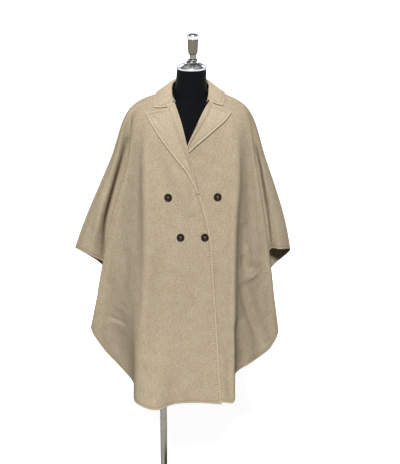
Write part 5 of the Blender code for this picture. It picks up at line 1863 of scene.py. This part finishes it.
class Room(Shader):
    """A world of even light, brighter from the floor's side."""

    def __init__(self, name: str) -> None:
        """Start a new world and use it."""
        world = bpy.data.worlds.new(name)
        world.use_nodes = True
        self.tree = world.node_tree
        self.surface = self.tree.nodes["Background"]
        bpy.context.scene.world = world

    def light(self, below: float, above: float) -> None:
        """Set the strengths from the floor's side and from the ceiling's."""
        way = self.node("ShaderNodeTexCoord", {}, {}, "Generated")
        self.set(Color=(1.0, 1.0, 1.0),
                 Strength=below + way.axis("Z").ramp(-0.2, 0.3) * (above - below))


@dataclass
class Studio:
    """Pale floor that curves up far away, soft lights and the camera."""

    eye: Point = (0.0264, -4.0, 2.35)
    tilt: float = 71.4
    lens: float = 99.23
    below: float = 0.10
    above: float = 0.04
    floor: Painted = field(default_factory=Painted)
    sides: int = 96
    bowl: tuple[Place, ...] = ((28.0, 0.0), (30.0, 0.0), (34.0, 0.6), (37.0, 2.6),
                               (39.0, 7.0), (40.0, 20.0))

    def build(self) -> None:
        """Set up the floor, the lights and the camera."""
        turns = np.arange(self.sides) * 2 * math.pi / self.sides
        ring = np.stack([np.cos(turns), np.sin(turns), np.zeros(self.sides)], axis=1)
        points = np.concatenate([ring * radius + (0.0, 0.0, height)
                                 for radius, height in self.bowl])
        around = [(i, (i + 1) % self.sides) for i in range(self.sides)]
        walls = [(level + b, level + a, level + self.sides + a, level + self.sides + b)
                 for level in range(0, len(points) - self.sides, self.sides)
                 for a, b in around]
        mesh = bpy.data.meshes.new("floor")
        mesh.from_pydata(points.tolist(), [], [tuple(range(self.sides)), *walls])
        mesh.shade_smooth()
        mesh.materials.append(self.floor.dress("floor"))
        ground = placed("floor", mesh)
        ground.visible_diffuse = False
        ground.visible_shadow = False
        Room("room").light(self.below, self.above)
        bpy.context.scene.view_settings.view_transform = "Standard"
        self._lamp("key", -4.0, 42.0, 12.0, 4.32)
        self._lamp("back_left", -155.0, 22.0, 20.0, 1.7)
        self._lamp("back_right", 150.0, 22.0, 20.0, 1.3)
        self._lamp("ceiling", 180.0, 78.0, 60.0, 0.5)
        camera = placed("camera", bpy.data.cameras.new("camera"))
        camera.data.lens = self.lens
        camera.location = self.eye
        camera.rotation_euler = (math.radians(self.tilt), 0.0, 0.0)
        bpy.context.scene.camera = camera

    @staticmethod
    def _lamp(name: str, bearing: float, height: float, spread: float, power: float) -> None:
        """Add one large far lamp.

        Args:
            name: The lamp's name.
            bearing: Degrees from the front, rising towards the viewer's right.
            height: Degrees above the floor.
            spread: How wide it looks from the cape, in degrees.
            power: Its strength in watts per square metre.
        """
        data = bpy.data.lights.new(name, "SUN")
        data.angle = math.radians(spread)
        data.energy = power
        lamp = placed(name, data)
        lamp.rotation_euler = (math.radians(90.0 - height), 0.0, math.radians(bearing))


def main() -> None:
    """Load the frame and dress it."""
    logging.basicConfig(level=logging.INFO, format="%(name)s: %(message)s")
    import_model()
    Studio().build()
    torso = Torso().dress()
    Stand().dress()
    Cape(torso).dress()


if __name__ == "__main__":
    main()
